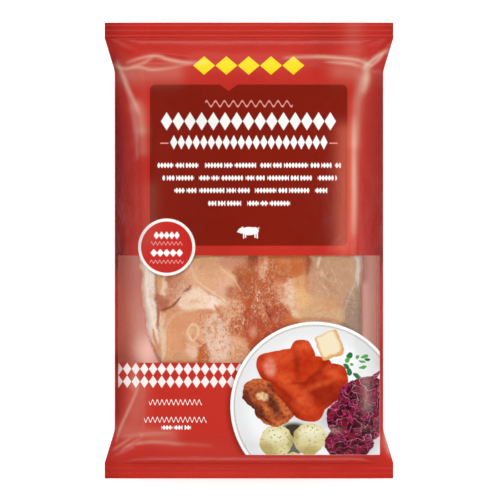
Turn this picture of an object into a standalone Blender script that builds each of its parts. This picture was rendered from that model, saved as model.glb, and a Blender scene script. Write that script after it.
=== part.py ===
"""Sealed film pack of raw pork knuckle, lying on its back with the printed front up.

One tube of plastic film is drawn round the knuckle, welded along a flat fin seal on the back
and crimped shut at both ends, so the closed pack is one solid. Metres, +Z up. The pack lies
along Y with its top end at +Y, and the origin is the middle of the flat base that it rests on.
"""

import math

import bmesh
import bpy

# Driving dimensions of the pack.
PACK_LENGTH = 0.256
SEAL_WIDTH = 0.1621
BODY_WIDTH = 0.1507
SEAL_PLANE = 0.0210
FRONT_RISE = 0.0106
FRONT_DOME = 0.0090

# Crimped end seals: flat bands as wide as the flattened tube, with ribs across.
SEAL_BAND = 0.0088
SEAL_THICKNESS = 0.0008
RIB_COUNT = 3
RIB_HEIGHT = 0.0003
TAPER_LENGTH = 0.0206

# The front is domed over the knuckle out to a corner, then falls straight to the pack's side.
DOME_POWER = 2.5
CORNER_SHARE = 0.79
CORNER_SOFTNESS = 0.16

# How full the back and the ends are: high powers give a broad flat, a low round a bulging slope.
BACK_POWER = 6.0
BACK_ROUND = 0.52
END_POWER = 13.0
END_ROUND = 0.85
BASE_FULLNESS = 1.16

# Soft folds of the film over the filling.
SHOULDER_X = 0.0585
SHOULDER_WIDTH = 0.0035
SHOULDER_RISE = 0.00035
TUCK_DEPTH = 0.0014
TUCK_WIDTH = 0.0035
TUCK_OUTER = (0.0760, 0.1140)
TUCK_INNER = (0.0610, 0.0900)

# Lumps of the knuckle that press up under the front: x, y, radius across, radius along, rise.
KNUCKLE_LUMPS = (
    (-0.0180, -0.0150, 0.0260, 0.0200, 0.0016),
    (0.0420, -0.0250, 0.0260, 0.0300, 0.0018),
    (-0.0360, -0.0480, 0.0210, 0.0200, 0.0014),
    (0.0020, 0.0450, 0.0520, 0.0420, 0.0012),
    (0.0060, -0.0900, 0.0500, 0.0220, -0.0010),
)

# Fin seal along the back: a welded strip pressed flat, with a shallow groove at each edge.
FIN_LEFT = -0.0044
FIN_RIGHT = 0.0092
GROOVE_WIDTH = 0.0016
GROOVE_DEPTH = 0.0005

# Mesh density: steps from the middle line to one side, and from the middle to one end.
STEPS_ACROSS = 15
STEPS_ALONG = 24

FILM_RED = (0.55, 0.045, 0.032, 1.0)
FILM_ROUGHNESS = 0.30

BODY_HALF_LENGTH = PACK_LENGTH / 2 - SEAL_BAND


def half_width(y):
    """Half the pack's width at y: straight body, then flaring to the flat end seals."""
    into_taper = (abs(y) - (BODY_HALF_LENGTH - TAPER_LENGTH)) / TAPER_LENGTH
    flare = min(1.0, max(0.0, into_taper))
    return BODY_WIDTH / 2 + flare * (SEAL_WIDTH - BODY_WIDTH) / 2


def shares(x, y):
    """A place as shares of the half width and of the body's half length."""
    across = min(1.0, abs(x) / half_width(y))
    along = min(1.0, abs(y) / BODY_HALF_LENGTH)
    return across, along


def end_share(along):
    """1 on the body, falling to 0 where the film meets the end seals."""
    return (1.0 - along ** END_POWER) ** END_ROUND


def side_share(across):
    """1 on the front, then a straight fall from the knuckle's edge to the pack's side."""
    fall = (1.0 - across) / (1.0 - CORNER_SHARE)
    blend = max(0.0, 1.0 - abs(fall - 1.0) / CORNER_SOFTNESS)
    return min(1.0, fall) - CORNER_SOFTNESS / 4 * blend ** 2


def hump(distance, width):
    """A soft bell of height 1."""
    return math.exp(-((distance / width) ** 2))


def tuck(x, y):
    """The fold that runs in from each corner of the body, where the tube is gathered flat."""
    run_x = TUCK_INNER[0] - TUCK_OUTER[0]
    run_y = TUCK_INNER[1] - TUCK_OUTER[1]
    run = math.hypot(run_x, run_y)
    from_x = abs(x) - TUCK_OUTER[0]
    from_y = abs(y) - TUCK_OUTER[1]
    along = (from_x * run_x + from_y * run_y) / run
    beside = (from_x * run_y - from_y * run_x) / run
    past_end = max(0.0, -along, along - run)
    return hump(beside, TUCK_WIDTH) * hump(past_end, 2 * TUCK_WIDTH)


def front_height(x, y):
    """Height of the front film above the seal plane."""
    across, along = shares(x, y)
    full = side_share(across) * end_share(along)
    height = FRONT_RISE * full
    height += FRONT_DOME * (1.0 - across ** DOME_POWER) * (1.0 - along ** 2)
    height += SHOULDER_RISE * full * hump(abs(x) - SHOULDER_X, SHOULDER_WIDTH)
    height -= TUCK_DEPTH * full * tuck(x, y)
    for lump_x, lump_y, radius_x, radius_y, rise in KNUCKLE_LUMPS:
        height += rise * full * hump(x - lump_x, radius_x) * hump(y - lump_y, radius_y)
    return height


def back_depth(x, y):
    """Depth of the back film below the seal plane, flat where the pack rests."""
    across, along = shares(x, y)
    full = (1.0 - across ** BACK_POWER) ** BACK_ROUND * end_share(along)
    return (SEAL_PLANE - SEAL_THICKNESS / 2) * min(1.0, BASE_FULLNESS * full)


def groove(x, y):
    """Depth of the two grooves beside the fin seal, fading out before the ends of the base."""
    flare = half_width(y) / (BODY_WIDTH / 2)
    depth = 0.0
    for edge in (FIN_LEFT, FIN_RIGHT):
        if abs(x / flare - edge) < GROOVE_WIDTH / 3:
            depth = GROOVE_DEPTH
    return depth * min(1.0, max(0.0, 1.0 - (abs(y) / BODY_HALF_LENGTH) ** END_POWER))


def rib(y):
    """Rise of the crimp ribs that run across an end seal."""
    into_seal = (abs(y) - BODY_HALF_LENGTH) / SEAL_BAND
    if into_seal <= 0.0:
        return 0.0
    return RIB_HEIGHT * math.sin(2 * math.pi * RIB_COUNT * into_seal)


def column_shares():
    """Columns as shares of the half width: crowded at the sides, the corners and the fin seal."""
    columns = set()
    for step in range(-STEPS_ACROSS, STEPS_ACROSS + 1):
        columns.add(round(math.sin(math.pi / 2 * step / STEPS_ACROSS), 6))
    for side in (-1, 1):
        for offset in (-0.03, -0.01, 0.01, 0.03):
            columns.add(round(side * (CORNER_SHARE + offset), 6))
    for edge in (FIN_LEFT, FIN_RIGHT):
        for offset in (-0.5, -0.2, 0.2, 0.5):
            columns.add(round((edge + offset * GROOVE_WIDTH) / (BODY_WIDTH / 2), 6))
    return sorted(columns)


def row_places():
    """Rows along Y: closer together towards the ends of the body, then four to each rib."""
    places = set()
    for step in range(-STEPS_ALONG, STEPS_ALONG + 1):
        places.add(round(BODY_HALF_LENGTH * math.sin(math.pi / 2 * step / STEPS_ALONG), 6))
    rib_rows = 4 * RIB_COUNT
    for step in range(1, rib_rows + 1):
        y = round(BODY_HALF_LENGTH + SEAL_BAND * step / rib_rows, 6)
        places.add(y)
        places.add(-y)
    return sorted(places)


def film_material():
    material = bpy.data.materials.new("printed_film")
    material.use_nodes = True
    shader = material.node_tree.nodes["Principled BSDF"]
    shader.inputs["Base Color"].default_value = FILM_RED
    shader.inputs["Roughness"].default_value = FILM_ROUGHNESS
    shader.inputs["Metallic"].default_value = 0.0
    return material


def build_pack():
    """One closed skin: a front sheet and a back sheet, joined by a narrow edge all round."""
    mesh = bmesh.new()
    columns = column_shares()
    rows = row_places()
    half_edge = SEAL_THICKNESS / 2
    front = []
    back = []
    for y in rows:
        front_row = []
        back_row = []
        for column in columns:
            x = column * half_width(y)
            middle = SEAL_PLANE + rib(y)
            front_z = middle + half_edge + front_height(x, y)
            back_z = middle - half_edge - back_depth(x, y)
            resting = back_z < GROOVE_DEPTH / 10
            if resting:
                back_z = groove(x, y)
            front_row.append(mesh.verts.new((x, y, front_z)))
            back_row.append(mesh.verts.new((x, y, back_z)))
        front.append(front_row)
        back.append(back_row)
    last_row = len(rows) - 1
    last_column = len(columns) - 1
    for row in range(last_row):
        for column in range(last_column):
            a, b = front[row][column], front[row][column + 1]
            c, d = front[row + 1][column + 1], front[row + 1][column]
            mesh.faces.new((a, b, c, d))
            a, b = back[row][column], back[row][column + 1]
            c, d = back[row + 1][column + 1], back[row + 1][column]
            mesh.faces.new((d, c, b, a))
        for column in (0, last_column):
            mesh.faces.new((front[row][column], front[row + 1][column],
                            back[row + 1][column], back[row][column]))
    for row in (0, last_row):
        for column in range(last_column):
            mesh.faces.new((front[row][column], front[row][column + 1],
                            back[row][column + 1], back[row][column]))
    bmesh.ops.recalc_face_normals(mesh, faces=mesh.faces)
    bmesh.ops.triangulate(mesh, faces=mesh.faces)
    data = bpy.data.meshes.new("film_pack")
    mesh.to_mesh(data)
    mesh.free()
    data.shade_smooth()
    data.materials.append(film_material())
    pack = bpy.data.objects.new("film_pack", data)
    bpy.context.collection.objects.link(pack)
    return pack


for old in list(bpy.data.objects):
    bpy.data.objects.remove(old, do_unlink=True)

build_pack()
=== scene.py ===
"""The looks of a sealed, printed film pack of raw pork knuckle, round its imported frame."""

import math

import bpy
import numpy as np
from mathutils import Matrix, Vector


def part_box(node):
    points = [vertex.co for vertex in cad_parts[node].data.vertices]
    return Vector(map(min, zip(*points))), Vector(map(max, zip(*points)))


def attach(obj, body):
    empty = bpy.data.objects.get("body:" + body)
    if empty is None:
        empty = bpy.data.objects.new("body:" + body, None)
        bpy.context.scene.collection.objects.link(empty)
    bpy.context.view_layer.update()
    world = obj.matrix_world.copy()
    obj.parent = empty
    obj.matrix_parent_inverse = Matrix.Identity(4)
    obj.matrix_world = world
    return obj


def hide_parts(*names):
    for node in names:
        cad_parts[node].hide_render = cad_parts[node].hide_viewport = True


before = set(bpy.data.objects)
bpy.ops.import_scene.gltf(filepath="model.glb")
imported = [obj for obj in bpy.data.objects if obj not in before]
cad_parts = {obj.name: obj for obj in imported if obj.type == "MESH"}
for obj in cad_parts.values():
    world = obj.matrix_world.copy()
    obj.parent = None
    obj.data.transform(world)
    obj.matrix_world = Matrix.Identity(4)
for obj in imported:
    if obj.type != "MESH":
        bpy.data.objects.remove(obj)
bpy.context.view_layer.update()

# ---------------------------------------------------------------------------------------------
# Form of the film. The pack is one tube of polyethylene film drawn tight round the meat: a broad
# flat front, bulging sides, and ends that slope down to flat crimped seals. Sizes are in mm.

MM = 0.001
# The pack's own half length and half width come from its packed box.
_, pack_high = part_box("film_pack")
HALF_LENGTH = pack_high.y / MM
SEAL_HALF_WIDTH = pack_high.x / MM
BODY_TO_SEAL = 0.9297
BODY_HALF_WIDTH = BODY_TO_SEAL * SEAL_HALF_WIDTH
SEAL_BAND = 8.8
BODY_HALF_LENGTH = HALF_LENGTH - SEAL_BAND
TAPER_LENGTH = 20.6
FLARE_START = 0.2
SEAL_PLANE = 21.0
SEAL_THICKNESS = 0.5
RIB_COUNT = 3
RIB_HEIGHT = 0.2
FRONT_RISE = 10.6
FRONT_DOME = 9.0
DOME_POWER = 2.5
CORNER_SHARE = 0.79
CORNER_SOFTNESS = 0.16
BACK_POWER = 6.0
BACK_ROUND = 0.52
END_POWER = 13.0
END_ROUND = 0.85
BASE_FULLNESS = 1.16
BASE_LIFT = 0.35
SHOULDER_X = 58.5
SHOULDER_WIDTH = 3.5
SHOULDER_RISE = 0.35
SIDE_FADE, END_FADE = 12, 14

# Where the knuckle presses up under the film: x, y, radius across, radius along, rise.
KNUCKLE_LUMPS = (
    (-18, -15, 26, 20, 1.6),
    (42, -25, 26, 30, 1.8),
    (-36, -48, 21, 20, 1.4),
    (2, 45, 52, 42, 1.2),
    (6, -90, 50, 22, -1),
)

# Folds of the film: rise (a valley below zero), half width, then the points that it runs through.
FOLDS = (
    (0.75, 1.5, (-70, 106.5), (-65.7, 108.1), (-55.6, 110.9), (-45, 110.3), (-33.1, 108.7)),
    (-0.55, 1.8, (-71, 106), (-60, 107.4), (-48, 107.6), (-36, 106.4)),
    (0.50, 1.3, (-74.1, 105.9), (-71.3, 103.6), (-55, 104.6), (-33.1, 104.2)),
    (0.90, 2.3, (-74.1, 105.4), (-67.9, 93), (-64, 81.7), (-61.8, 68), (-61, 52)),
    (-0.60, 2.2, (-71.5, 107), (-63.5, 96), (-59.5, 84), (-57.5, 70)),
    (0.75, 1.5, (25.8, 110.4), (45.5, 109.3), (65.1, 108.7), (71, 111), (76.5, 115)),
    (0.45, 1.1, (38, 106.3), (48, 105.6), (58.7, 104.4)),
    (-0.50, 1.6, (30, 107.6), (46, 107.2), (62, 106.2)),
    (0.80, 2, (66.5, 108.4), (63.4, 101.4), (59.8, 90.1), (58.6, 70), (58.2, 40)),
    (0.40, 1.8, (-59, -70), (-61.2, -78.3), (-69.6, -95.1), (-75.2, -103.6)),
    (0.45, 1.2, (-69.6, -102.2), (-50, -102.8), (-30, -102.6), (-10.7, -102.2)),
    (0.45, 1.1, (-71.6, -105.4), (-50, -105.6), (-30, -105.2), (-14, -104.9)),
    (0.40, 1, (-72.6, -108.2), (-55, -108.2), (-38, -107.6)),
    (0.60, 1.6, (57, -62), (54.5, -74), (52.5, -86), (53.5, -93)),
    (0.55, 1.3, (23, -102.4), (44, -101.9), (60, -101.6), (74.2, -101.6)),
    (0.70, 2.2, (72, -98), (74.6, -104.6), (78.2, -111)),
    (-0.45, 1.6, (66, -96), (70.5, -104), (74, -112)),
)


def half_width(y):
    """Half the pack's width: a straight body that flares to the flat end seals."""
    flare = np.clip((np.abs(y) - BODY_HALF_LENGTH + TAPER_LENGTH) / TAPER_LENGTH, 0, 1)
    flare = np.where(flare < FLARE_START, flare ** 2 / (2 * FLARE_START), flare - FLARE_START / 2)
    flare = flare / (1 - FLARE_START / 2)
    return BODY_HALF_WIDTH + flare * (SEAL_HALF_WIDTH - BODY_HALF_WIDTH)


def shares(x, y):
    """Places as shares of the half width and of the body's half length."""
    across = np.minimum(1, np.abs(x) / half_width(y))
    along = np.minimum(1, np.abs(y) / BODY_HALF_LENGTH)
    return across, along


def end_share(along):
    """1 on the body, falling to 0 where the film meets the end seals."""
    return (1 - along ** END_POWER) ** END_ROUND


def side_share(across):
    """1 on the front, then a straight fall from the knuckle's edge to the pack's side."""
    fall = (1 - across) / (1 - CORNER_SHARE)
    blend = np.maximum(0, 1 - np.abs(fall - 1) / CORNER_SOFTNESS)
    return np.minimum(1, fall) - CORNER_SOFTNESS / 4 * blend ** 2


def hump(distance, width):
    """A soft bell of height 1."""
    return np.exp(-((distance / width) ** 2))


def smooth_route(points, steps):
    """Points along a smooth curve through the given ones."""
    ends = [points[0], *points, points[-1]]
    route = []
    for a, b, c, d in zip(ends, ends[1:], ends[2:], ends[3:]):
        a, b, c, d = map(np.array, (a, b, c, d))
        for t in np.arange(steps) / steps:
            route.append(b + t * (c - a) / 2 + t * t * (a - 2.5 * b + 2 * c - d / 2)
                         + t ** 3 * (1.5 * (b - c) + (d - a) / 2))
    return np.array([*route, points[-1]])


def beside(x, y, points, steps=6):
    """Distance of each place from a smooth curve, and how far along the curve it is."""
    route = smooth_route(points, steps)
    nearest = np.full(np.shape(x), 1e9)
    progress = np.zeros(np.shape(x))
    for number, (start, end) in enumerate(zip(route, route[1:])):
        run = end - start
        reach = ((x - start[0]) * run[0] + (y - start[1]) * run[1]) / (run @ run + 1e-9)
        reach = np.clip(reach, 0, 1)
        away = np.hypot(x - start[0] - reach * run[0], y - start[1] - reach * run[1])
        closer = away < nearest
        nearest = np.where(closer, away, nearest)
        progress = np.where(closer, (number + reach) / (len(route) - 1), progress)
    return nearest, progress


def swell(progress, start, power=1.0):
    """Strength along a stroke: full in its middle, thinning out towards both ends."""
    return np.sin(math.pi * (start + (1 - 2 * start) * progress)) ** power


def fold(x, y, rise, width, *points):
    """One fold, strongest in its middle and dying out at both ends."""
    away, progress = beside(x, y, points)
    return rise * hump(away, width) * swell(progress, 0.08, 0.8)


def front_height(x, y):
    """Height of the front film above the seal plane, in mm."""
    across, along = shares(x, y)
    full = side_share(across) * end_share(along)
    height = FRONT_RISE * full + FRONT_DOME * (1 - across ** DOME_POWER) * (1 - along ** 2)
    height = height + SHOULDER_RISE * full * hump(np.abs(x) - SHOULDER_X, SHOULDER_WIDTH)
    for lump_x, lump_y, radius_x, radius_y, rise in KNUCKLE_LUMPS:
        height = height + rise * full * hump(x - lump_x, radius_x) * hump(y - lump_y, radius_y)
    return height


def folds_height(x, y):
    """All the small folds together, fading to nothing at the seals and the sides."""
    across, along = shares(x, y)
    fade = np.minimum(1, (1 - across) * SIDE_FADE) * np.minimum(1, (1 - along) * END_FADE)
    return fade * sum(fold(x, y, *one) for one in FOLDS)


def back_depth(x, y):
    """Depth of the back film below the seal plane, flat where the pack rests."""
    across, along = shares(x, y)
    deepest = SEAL_PLANE - SEAL_THICKNESS / 2 - BASE_LIFT
    full = (1 - across ** BACK_POWER) ** BACK_ROUND * end_share(along)
    return deepest * np.minimum(1, BASE_FULLNESS * full)


def rib(y):
    """Rise of the crimp ribs that run across an end seal."""
    into_seal = np.maximum(0, (np.abs(y) - BODY_HALF_LENGTH) / SEAL_BAND)
    return RIB_HEIGHT * np.sin(2 * math.pi * RIB_COUNT * into_seal)


def crowded(count, crowding):
    """Places from -1 to 1, closer together towards both ends."""
    even = np.linspace(-1, 1, count)
    return even * (1 + crowding) - crowding * even ** 3


# ---------------------------------------------------------------------------------------------
# The film's skin: front and back sheet with their edges, at the film's real thickness. The front
# keeps an unprinted window over the meat, whose straight edges are rows and columns of the mesh.

WINDOW_LEFT, WINDOW_RIGHT = -73.5, 73.4
WINDOW_TOP, WINDOW_BOTTOM = -2.8, -62.8
FILM_THICKNESS = 0.09
FRONT_COLUMNS, BACK_COLUMNS = 141, 47
BODY_ROWS = 211
ROWS_TO_A_RIB = 8
COLUMN_CROWDING, ROW_CROWDING = 0.35, 0.25
PRINTED, CLEAR, BACK, PRINTED_INSIDE = range(4)


def film_rows():
    """Places of the mesh's rows along the pack."""
    rows = list(BODY_HALF_LENGTH * crowded(BODY_ROWS, ROW_CROWDING)) + [WINDOW_TOP, WINDOW_BOTTOM]
    for step in range(1, RIB_COUNT * ROWS_TO_A_RIB + 1):
        y = BODY_HALF_LENGTH + SEAL_BAND * step / (RIB_COUNT * ROWS_TO_A_RIB)
        rows += [y, -y]
    return np.array(sorted(rows))


def sheet_points(columns, rows, height):
    """A grid of points whose columns are shares of the half width."""
    y = np.repeat(rows[:, None], len(columns), axis=1)
    x = columns[None, :] * half_width(y)
    return np.stack([x, y, height(x, y)], axis=-1)


def sheet_faces(row_count, column_count, first=0, flip=False):
    """Four-sided faces of a grid of points."""
    low = (np.arange(row_count - 1)[:, None] * column_count + np.arange(column_count - 1)) + first
    corners = [low, low + 1, low + column_count + 1, low + column_count]
    if flip:
        corners.reverse()
    return np.stack(corners, axis=-1).reshape(-1, 4)


def make_object(name, points, faces, materials, face_materials=None):
    """An object of the scene from points in mm, shaded smooth."""
    mesh = bpy.data.meshes.new(name)
    mesh.from_pydata((np.asarray(points).reshape(-1, 3) * MM).tolist(), [],
                     [list(map(int, face)) for face in faces])
    for material in materials:
        mesh.materials.append(material)
    if face_materials is not None:
        mesh.polygons.foreach_set("material_index", np.asarray(face_materials, dtype=np.int32))
    mesh.shade_smooth()
    mesh.validate()
    made = bpy.data.objects.new(name, mesh)
    bpy.context.scene.collection.objects.link(made)
    return made


# Soft tones of the film along curves: strength, half width, then points. Dark ones are painted
# shade that deepens the red towards the pack's sides and corners; pale ones are painted
# highlights.
PAINTED_SHADE_TONES = (
    (1, 10.8, (-81.5, 98), (-78.5, 76), (-77, 58), (-77, 0)),
    (0.16, 7, (-61, 66), (-61, 6)),
    (0.60, 12, (79, 92), (77, 70), (77, 0)),
    (0.62, 5, (-77, 0), (-77, -62)), (0.30, 4, (77, 0), (77, -62)),
    (0.55, 5.5, (-77, -62), (-76.5, -84), (-77.5, -98)),
    (0.50, 11, (-82, 128), (-82, 112)), (0.36, 11, (-82, -128), (-82, -110)),
    (0.24, 8, (82, 128), (82, 112)), (0.16, 8, (42, 128), (40, 108)),
    (0.14, 9, (78, -66), (78, -100)), (0.24, 4, (-72.5, -79), (-74.5, -90)),
)
# Painted highlights along the film's folds, shoulders and corners.
PAINTED_HIGHLIGHT_TONES = (
    (0.10, 6, (-68, 99), (-56, 99.5), (-42, 100)),
    (0.09, 5.5, (50, 101), (64, 99)), (0.05, 6, (59, 128), (58, 108)),
    (0.26, 1.1, (-74, 106), (-70.5, 97.5), (-67.5, 90), (-64, 82.5), (-62, 77)),
    (0.16, 3.2, (-62.8, 81), (-61.2, 76.5), (-60.4, 68)), (0.08, 3, (-59.8, 66), (-59.4, 56)),
    (0.13, 3, (64, 96), (61.2, 85), (59.8, 72), (59, 60)),
    (0.31, 1.8, (59.2, 74), (58.9, 50), (59, 30), (58.6, 8)),
    (0.30, 1.7, (76.4, -101), (77.6, -107), (79.6, -114)),
    (0.14, 2.6, (65.5, -71), (66, -88)), (0.14, 1.7, (40, -100.5), (52, -101)),
    (0.08, 6, (-61.5, -78), (-63.5, -92)), (0.10, 2.6, (-64, -64), (-64.5, -76)),
    (0.03, 5, (-56, 34), (-56, 6)),
    (0.36, 0.9, (-68, 105.6), (-58.7, 108.4), (-51.4, 109.1), (-44.9, 107.1), (-35.5, 105.4),
     (-24, 105.2)),
    (0.20, 0.9, (-66.4, 102.9), (-58.7, 105.4), (-54.1, 108.4)),
    (0.24, 0.9, (-76.1, 104.6), (-70.7, 102.1), (-62.1, 102.8), (-54.7, 101.4), (-46.1, 102.1),
     (-32.8, 104.4)),
    (0.38, 0.9, (20, 108), (34, 108.6), (45, 108.4), (59.5, 107), (68.7, 103.7)),
    (0.26, 0.9, (43, 105.8), (56.7, 104.7), (63.2, 103)),
    (0.36, 1, (64, 102), (70.7, 108.1), (77.8, 112.4)),
    (0.24, 0.8, (65.8, 101.5), (72.4, 107), (75.1, 110.2)),
    (0.30, 1.9, (65.2, 106), (65.9, 97), (63.8, 88)),
    (0.20, 0.8, (-61.6, -75), (-65, -83.4), (-68.6, -91.5), (-72.2, -99.5), (-74.5, -107.3)),
    (0.08, 4.5, (-70, -101), (-58, -102.5), (-44, -104)),
    (0.09, 1.1, (-71.9, -104.4), (-57.8, -103), (-42.3, -102.2)),
    (0.17, 1, (-66.6, -109.4), (-57.8, -107.5), (-48.6, -107.5), (-36.7, -108.8)),
    (0.06, 1, (-43.7, -108), (-20.2, -109.4)),
    (0.14, 0.8, (-76.5, -112), (-65.7, -104.8)), (0.12, 0.8, (-71.9, -112), (-62.1, -105.9)),
)

# A painted red sheen down the panel's right side, and where the clear film hangs slack beside the
# knuckle.
PAINTED_SHEEN_TONES = ((0.31, 5.8, (54.0, 66.0), (54.0, 2.7)),)
HAZE = (
    (0.32, 10.5, (-61.5, -4), (-61, -40), (-58, -56)),
    (0.32, 8, (-57, -56), (-54, -72)), (0.08, 9, (-58, -38), (-56, -54)),
    (0.40, 7.5, (68, -4), (68, -30), (68, -60)), (0.14, 2.5, (64.5, -20), (64.5, -58)),
)
# A tone narrower than this thins out towards its ends.
NARROW = 2.0

# The knuckle's outline under the film, and how far beside it the film hangs free.
KNUCKLE_HALF_LENGTH = 94.0
KNUCKLE_MIDDLE_Y = -2.0
LEFT_SIDE, RIGHT_SIDE = -61.8, 63.8
SLACK_REACH = 1.4
# Small wander of its sides: reach, size of the hills, seed.
SIDE_WANDER = ((0.9, 5.0, 5), (0.8, 2.2, 6))
# Its left side from the bottom up: y, then x.
LEFT_ROUTE = (
    (-96, -44), (-72, -49.5), (-64, -52.6), (-60, -54), (-55, -55.4), (-46.5, -57.2),
    (-38, -58.2), (-31, -59.8), (-26, -60.6), (-14, -60.2), (-11.5, -60.6), (-8.5, -61.8),
    (0, LEFT_SIDE),
)


def hills(x, y, size, seed):
    """Smooth random hills from 0 to 1, size mm apart."""
    grid = 97
    table = np.random.default_rng(seed).random((grid, grid))
    across, along = x / size + grid, y / size + grid
    column, row = np.floor(across).astype(int), np.floor(along).astype(int)
    u, v = across - column, along - row
    u, v = u * u * (3 - 2 * u), v * v * (3 - 2 * v)

    def at(shift_row, shift_column):
        return table[(row + shift_row) % grid, (column + shift_column) % grid]

    low = at(0, 0) * (1 - u) + at(0, 1) * u
    high = at(1, 0) * (1 - u) + at(1, 1) * u
    return low * (1 - v) + high * v


def knuckle_sides(y):
    """Left and right limit of the knuckle at y."""
    along = np.clip(np.abs(y - KNUCKLE_MIDDLE_Y) / KNUCKLE_HALF_LENGTH, 0, 1)
    narrow = np.sqrt(np.maximum(0, 1 - along ** 6))
    wander = sum(reach * (hills(y, y * 0, size, seed) - 0.5) for reach, size, seed in SIDE_WANDER)
    left = np.interp(y, *zip(*LEFT_ROUTE)) * narrow
    return left + wander, RIGHT_SIDE * narrow - wander * 0.5


def beside_knuckle(x, y):
    """1 where the film hangs free, 0 where the knuckle lies under it."""
    left, right = knuckle_sides(y)
    return np.clip((np.maximum(left - x, x - right) + SLACK_REACH) / SLACK_REACH, 0, 1)


def tones(x, y, strokes):
    """Strength of the tones at each place. Narrow ones thin out towards both their ends."""
    total = np.zeros(np.shape(x))
    for strength, width, *points in strokes:
        away, progress = beside(x, y, points)
        thinned = swell(progress, 0.04, 0.7) if width < NARROW else 1.0
        total = total + strength * thinned * hump(away, width)
    return np.clip(total, 0, 1)


def front_z(x, y):
    """Height of the front film with its folds and ribs, above the ground."""
    edge = SEAL_PLANE + rib(y) + SEAL_THICKNESS / 2
    return edge + front_height(x, y) + folds_height(x, y)


def back_z(x, y):
    """Height of the back film above the ground."""
    return SEAL_PLANE + rib(y) - SEAL_THICKNESS / 2 - back_depth(x, y)


def film_skin():
    """Points, faces and face materials of the closed film."""
    rows = film_rows()
    window_sides = (WINDOW_LEFT / BODY_HALF_WIDTH, WINDOW_RIGHT / BODY_HALF_WIDTH)
    front_columns = np.array(sorted([*crowded(FRONT_COLUMNS, COLUMN_CROWDING), *window_sides]))
    back_columns = crowded(BACK_COLUMNS, COLUMN_CROWDING)
    front = sheet_points(front_columns, rows, front_z)
    back = sheet_points(back_columns, rows, back_z)
    row_count, across_front, across_back = len(rows), len(front_columns), len(back_columns)
    first_back = row_count * across_front
    faces = [sheet_faces(row_count, across_front),
             sheet_faces(row_count, across_back, first_back, flip=True)]
    middle = front[:-1, :-1] / 2 + front[1:, 1:] / 2
    in_window = ((middle[..., 0] > WINDOW_LEFT) & (middle[..., 0] < WINDOW_RIGHT)
                 & (middle[..., 1] > WINDOW_BOTTOM) & (middle[..., 1] < WINDOW_TOP))
    kinds = [np.where(in_window, CLEAR, PRINTED).reshape(-1), np.full(len(faces[1]), BACK)]
    low = np.arange(row_count - 1)
    for front_column, back_column, turn in ((0, 0, 1), (across_front - 1, across_back - 1, -1)):
        f = low * across_front + front_column
        b = low * across_back + back_column + first_back
        strip = np.stack([f, f + across_front, b + across_back, b], axis=-1)[:, ::turn]
        faces.append(strip)
        kinds.append(np.full(len(strip), PRINTED))
    faces = [list(face) for group in faces for face in group]
    kinds = list(np.concatenate(kinds))
    for row, turn in ((0, 1), (row_count - 1, -1)):
        front_edge = [row * across_front + c for c in range(across_front)]
        back_edge = [row * across_back + c + first_back for c in range(across_back)]
        faces.append((back_edge + front_edge[::-1])[::turn])
        kinds.append(PRINTED)
    return np.concatenate([front.reshape(-1, 3), back.reshape(-1, 3)]), faces, kinds


# ---------------------------------------------------------------------------------------------
# The print on the front: red ground, dark panel, yellow and white ornaments, a lozenge band, a
# round badge and a plated meal in simple shapes. It is gravure printed on the film, laid out in
# mm from the pack's middle. It bears no words, only plain ornaments.

EDGE_BLUR = 0.16


def paint(red, green, blue):
    """A colour from its 0 to 255 screen values."""
    linear = []
    for value in (red, green, blue):
        share = value / 255
        linear.append(share / 12.92 if share <= 0.04045 else ((share + 0.055) / 1.055) ** 2.4)
    return (*linear, 1.0)


def feed(tree, socket, value):
    """Sets an input to a value, or links it to an output."""
    if isinstance(value, bpy.types.NodeSocket):
        tree.links.new(value, socket)
    elif isinstance(value, (tuple, list)) and len(value) > len(socket.default_value):
        socket.default_value = value[:len(socket.default_value)]
    else:
        socket.default_value = value


def set_inputs(tree, node, **values):
    """Feeds a node's inputs by name, with _ for a space."""
    for label, value in values.items():
        feed(tree, node.inputs[label.replace("_", " ")], value)


def new_node(tree, kind, *values, output=0, **settings):
    """Adds a node with its settings and its first inputs, and returns one output."""
    node = tree.nodes.new("ShaderNode" + kind)
    for name, setting in settings.items():
        setattr(node, name, setting)
    for socket, value in zip(node.inputs, values):
        feed(tree, socket, value)
    return node.outputs[output]


def calc(tree, operation, *terms):
    return new_node(tree, "Math", *terms, operation=operation)


def times(tree, first, *others):
    for other in others:
        first = calc(tree, "MULTIPLY", first, other)
    return first


def vector_calc(tree, operation, *terms, output=0):
    return new_node(tree, "VectorMath", *terms, output=output, operation=operation)


def layer(tree, under, over, share, blend="MIX"):
    """The colour under, covered by the colour over where share is 1."""
    node = tree.nodes.new("ShaderNodeMix")
    node.data_type = "RGBA"
    node.blend_type = blend
    for socket, value in zip((node.inputs[0], *node.inputs[6:8]), (share, under, over)):
        feed(tree, socket, value)
    return node.outputs[2]


def fractal(tree, place, scale, detail=3.0, roughness=0.5, distortion=0.0, output=0):
    node = tree.nodes.new("ShaderNodeTexNoise")
    set_inputs(tree, node, Vector=place, Scale=scale, Detail=detail, Roughness=roughness,
               Distortion=distortion)
    return node.outputs[output]


def ramp(tree, value, low, high, to_low=0.0, to_high=1.0):
    """A value smoothly mapped from one range to another."""
    return new_node(tree, "MapRange", value, low, high, to_low, to_high,
                    interpolation_type="SMOOTHSTEP")


def soft_edge(tree, reach, blur):
    """1 inside a shape and 0 outside, where reach is the distance past its edge."""
    return ramp(tree, reach, calc(tree, "MULTIPLY", blur, -1.0), blur, 1.0, 0.0)


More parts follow.
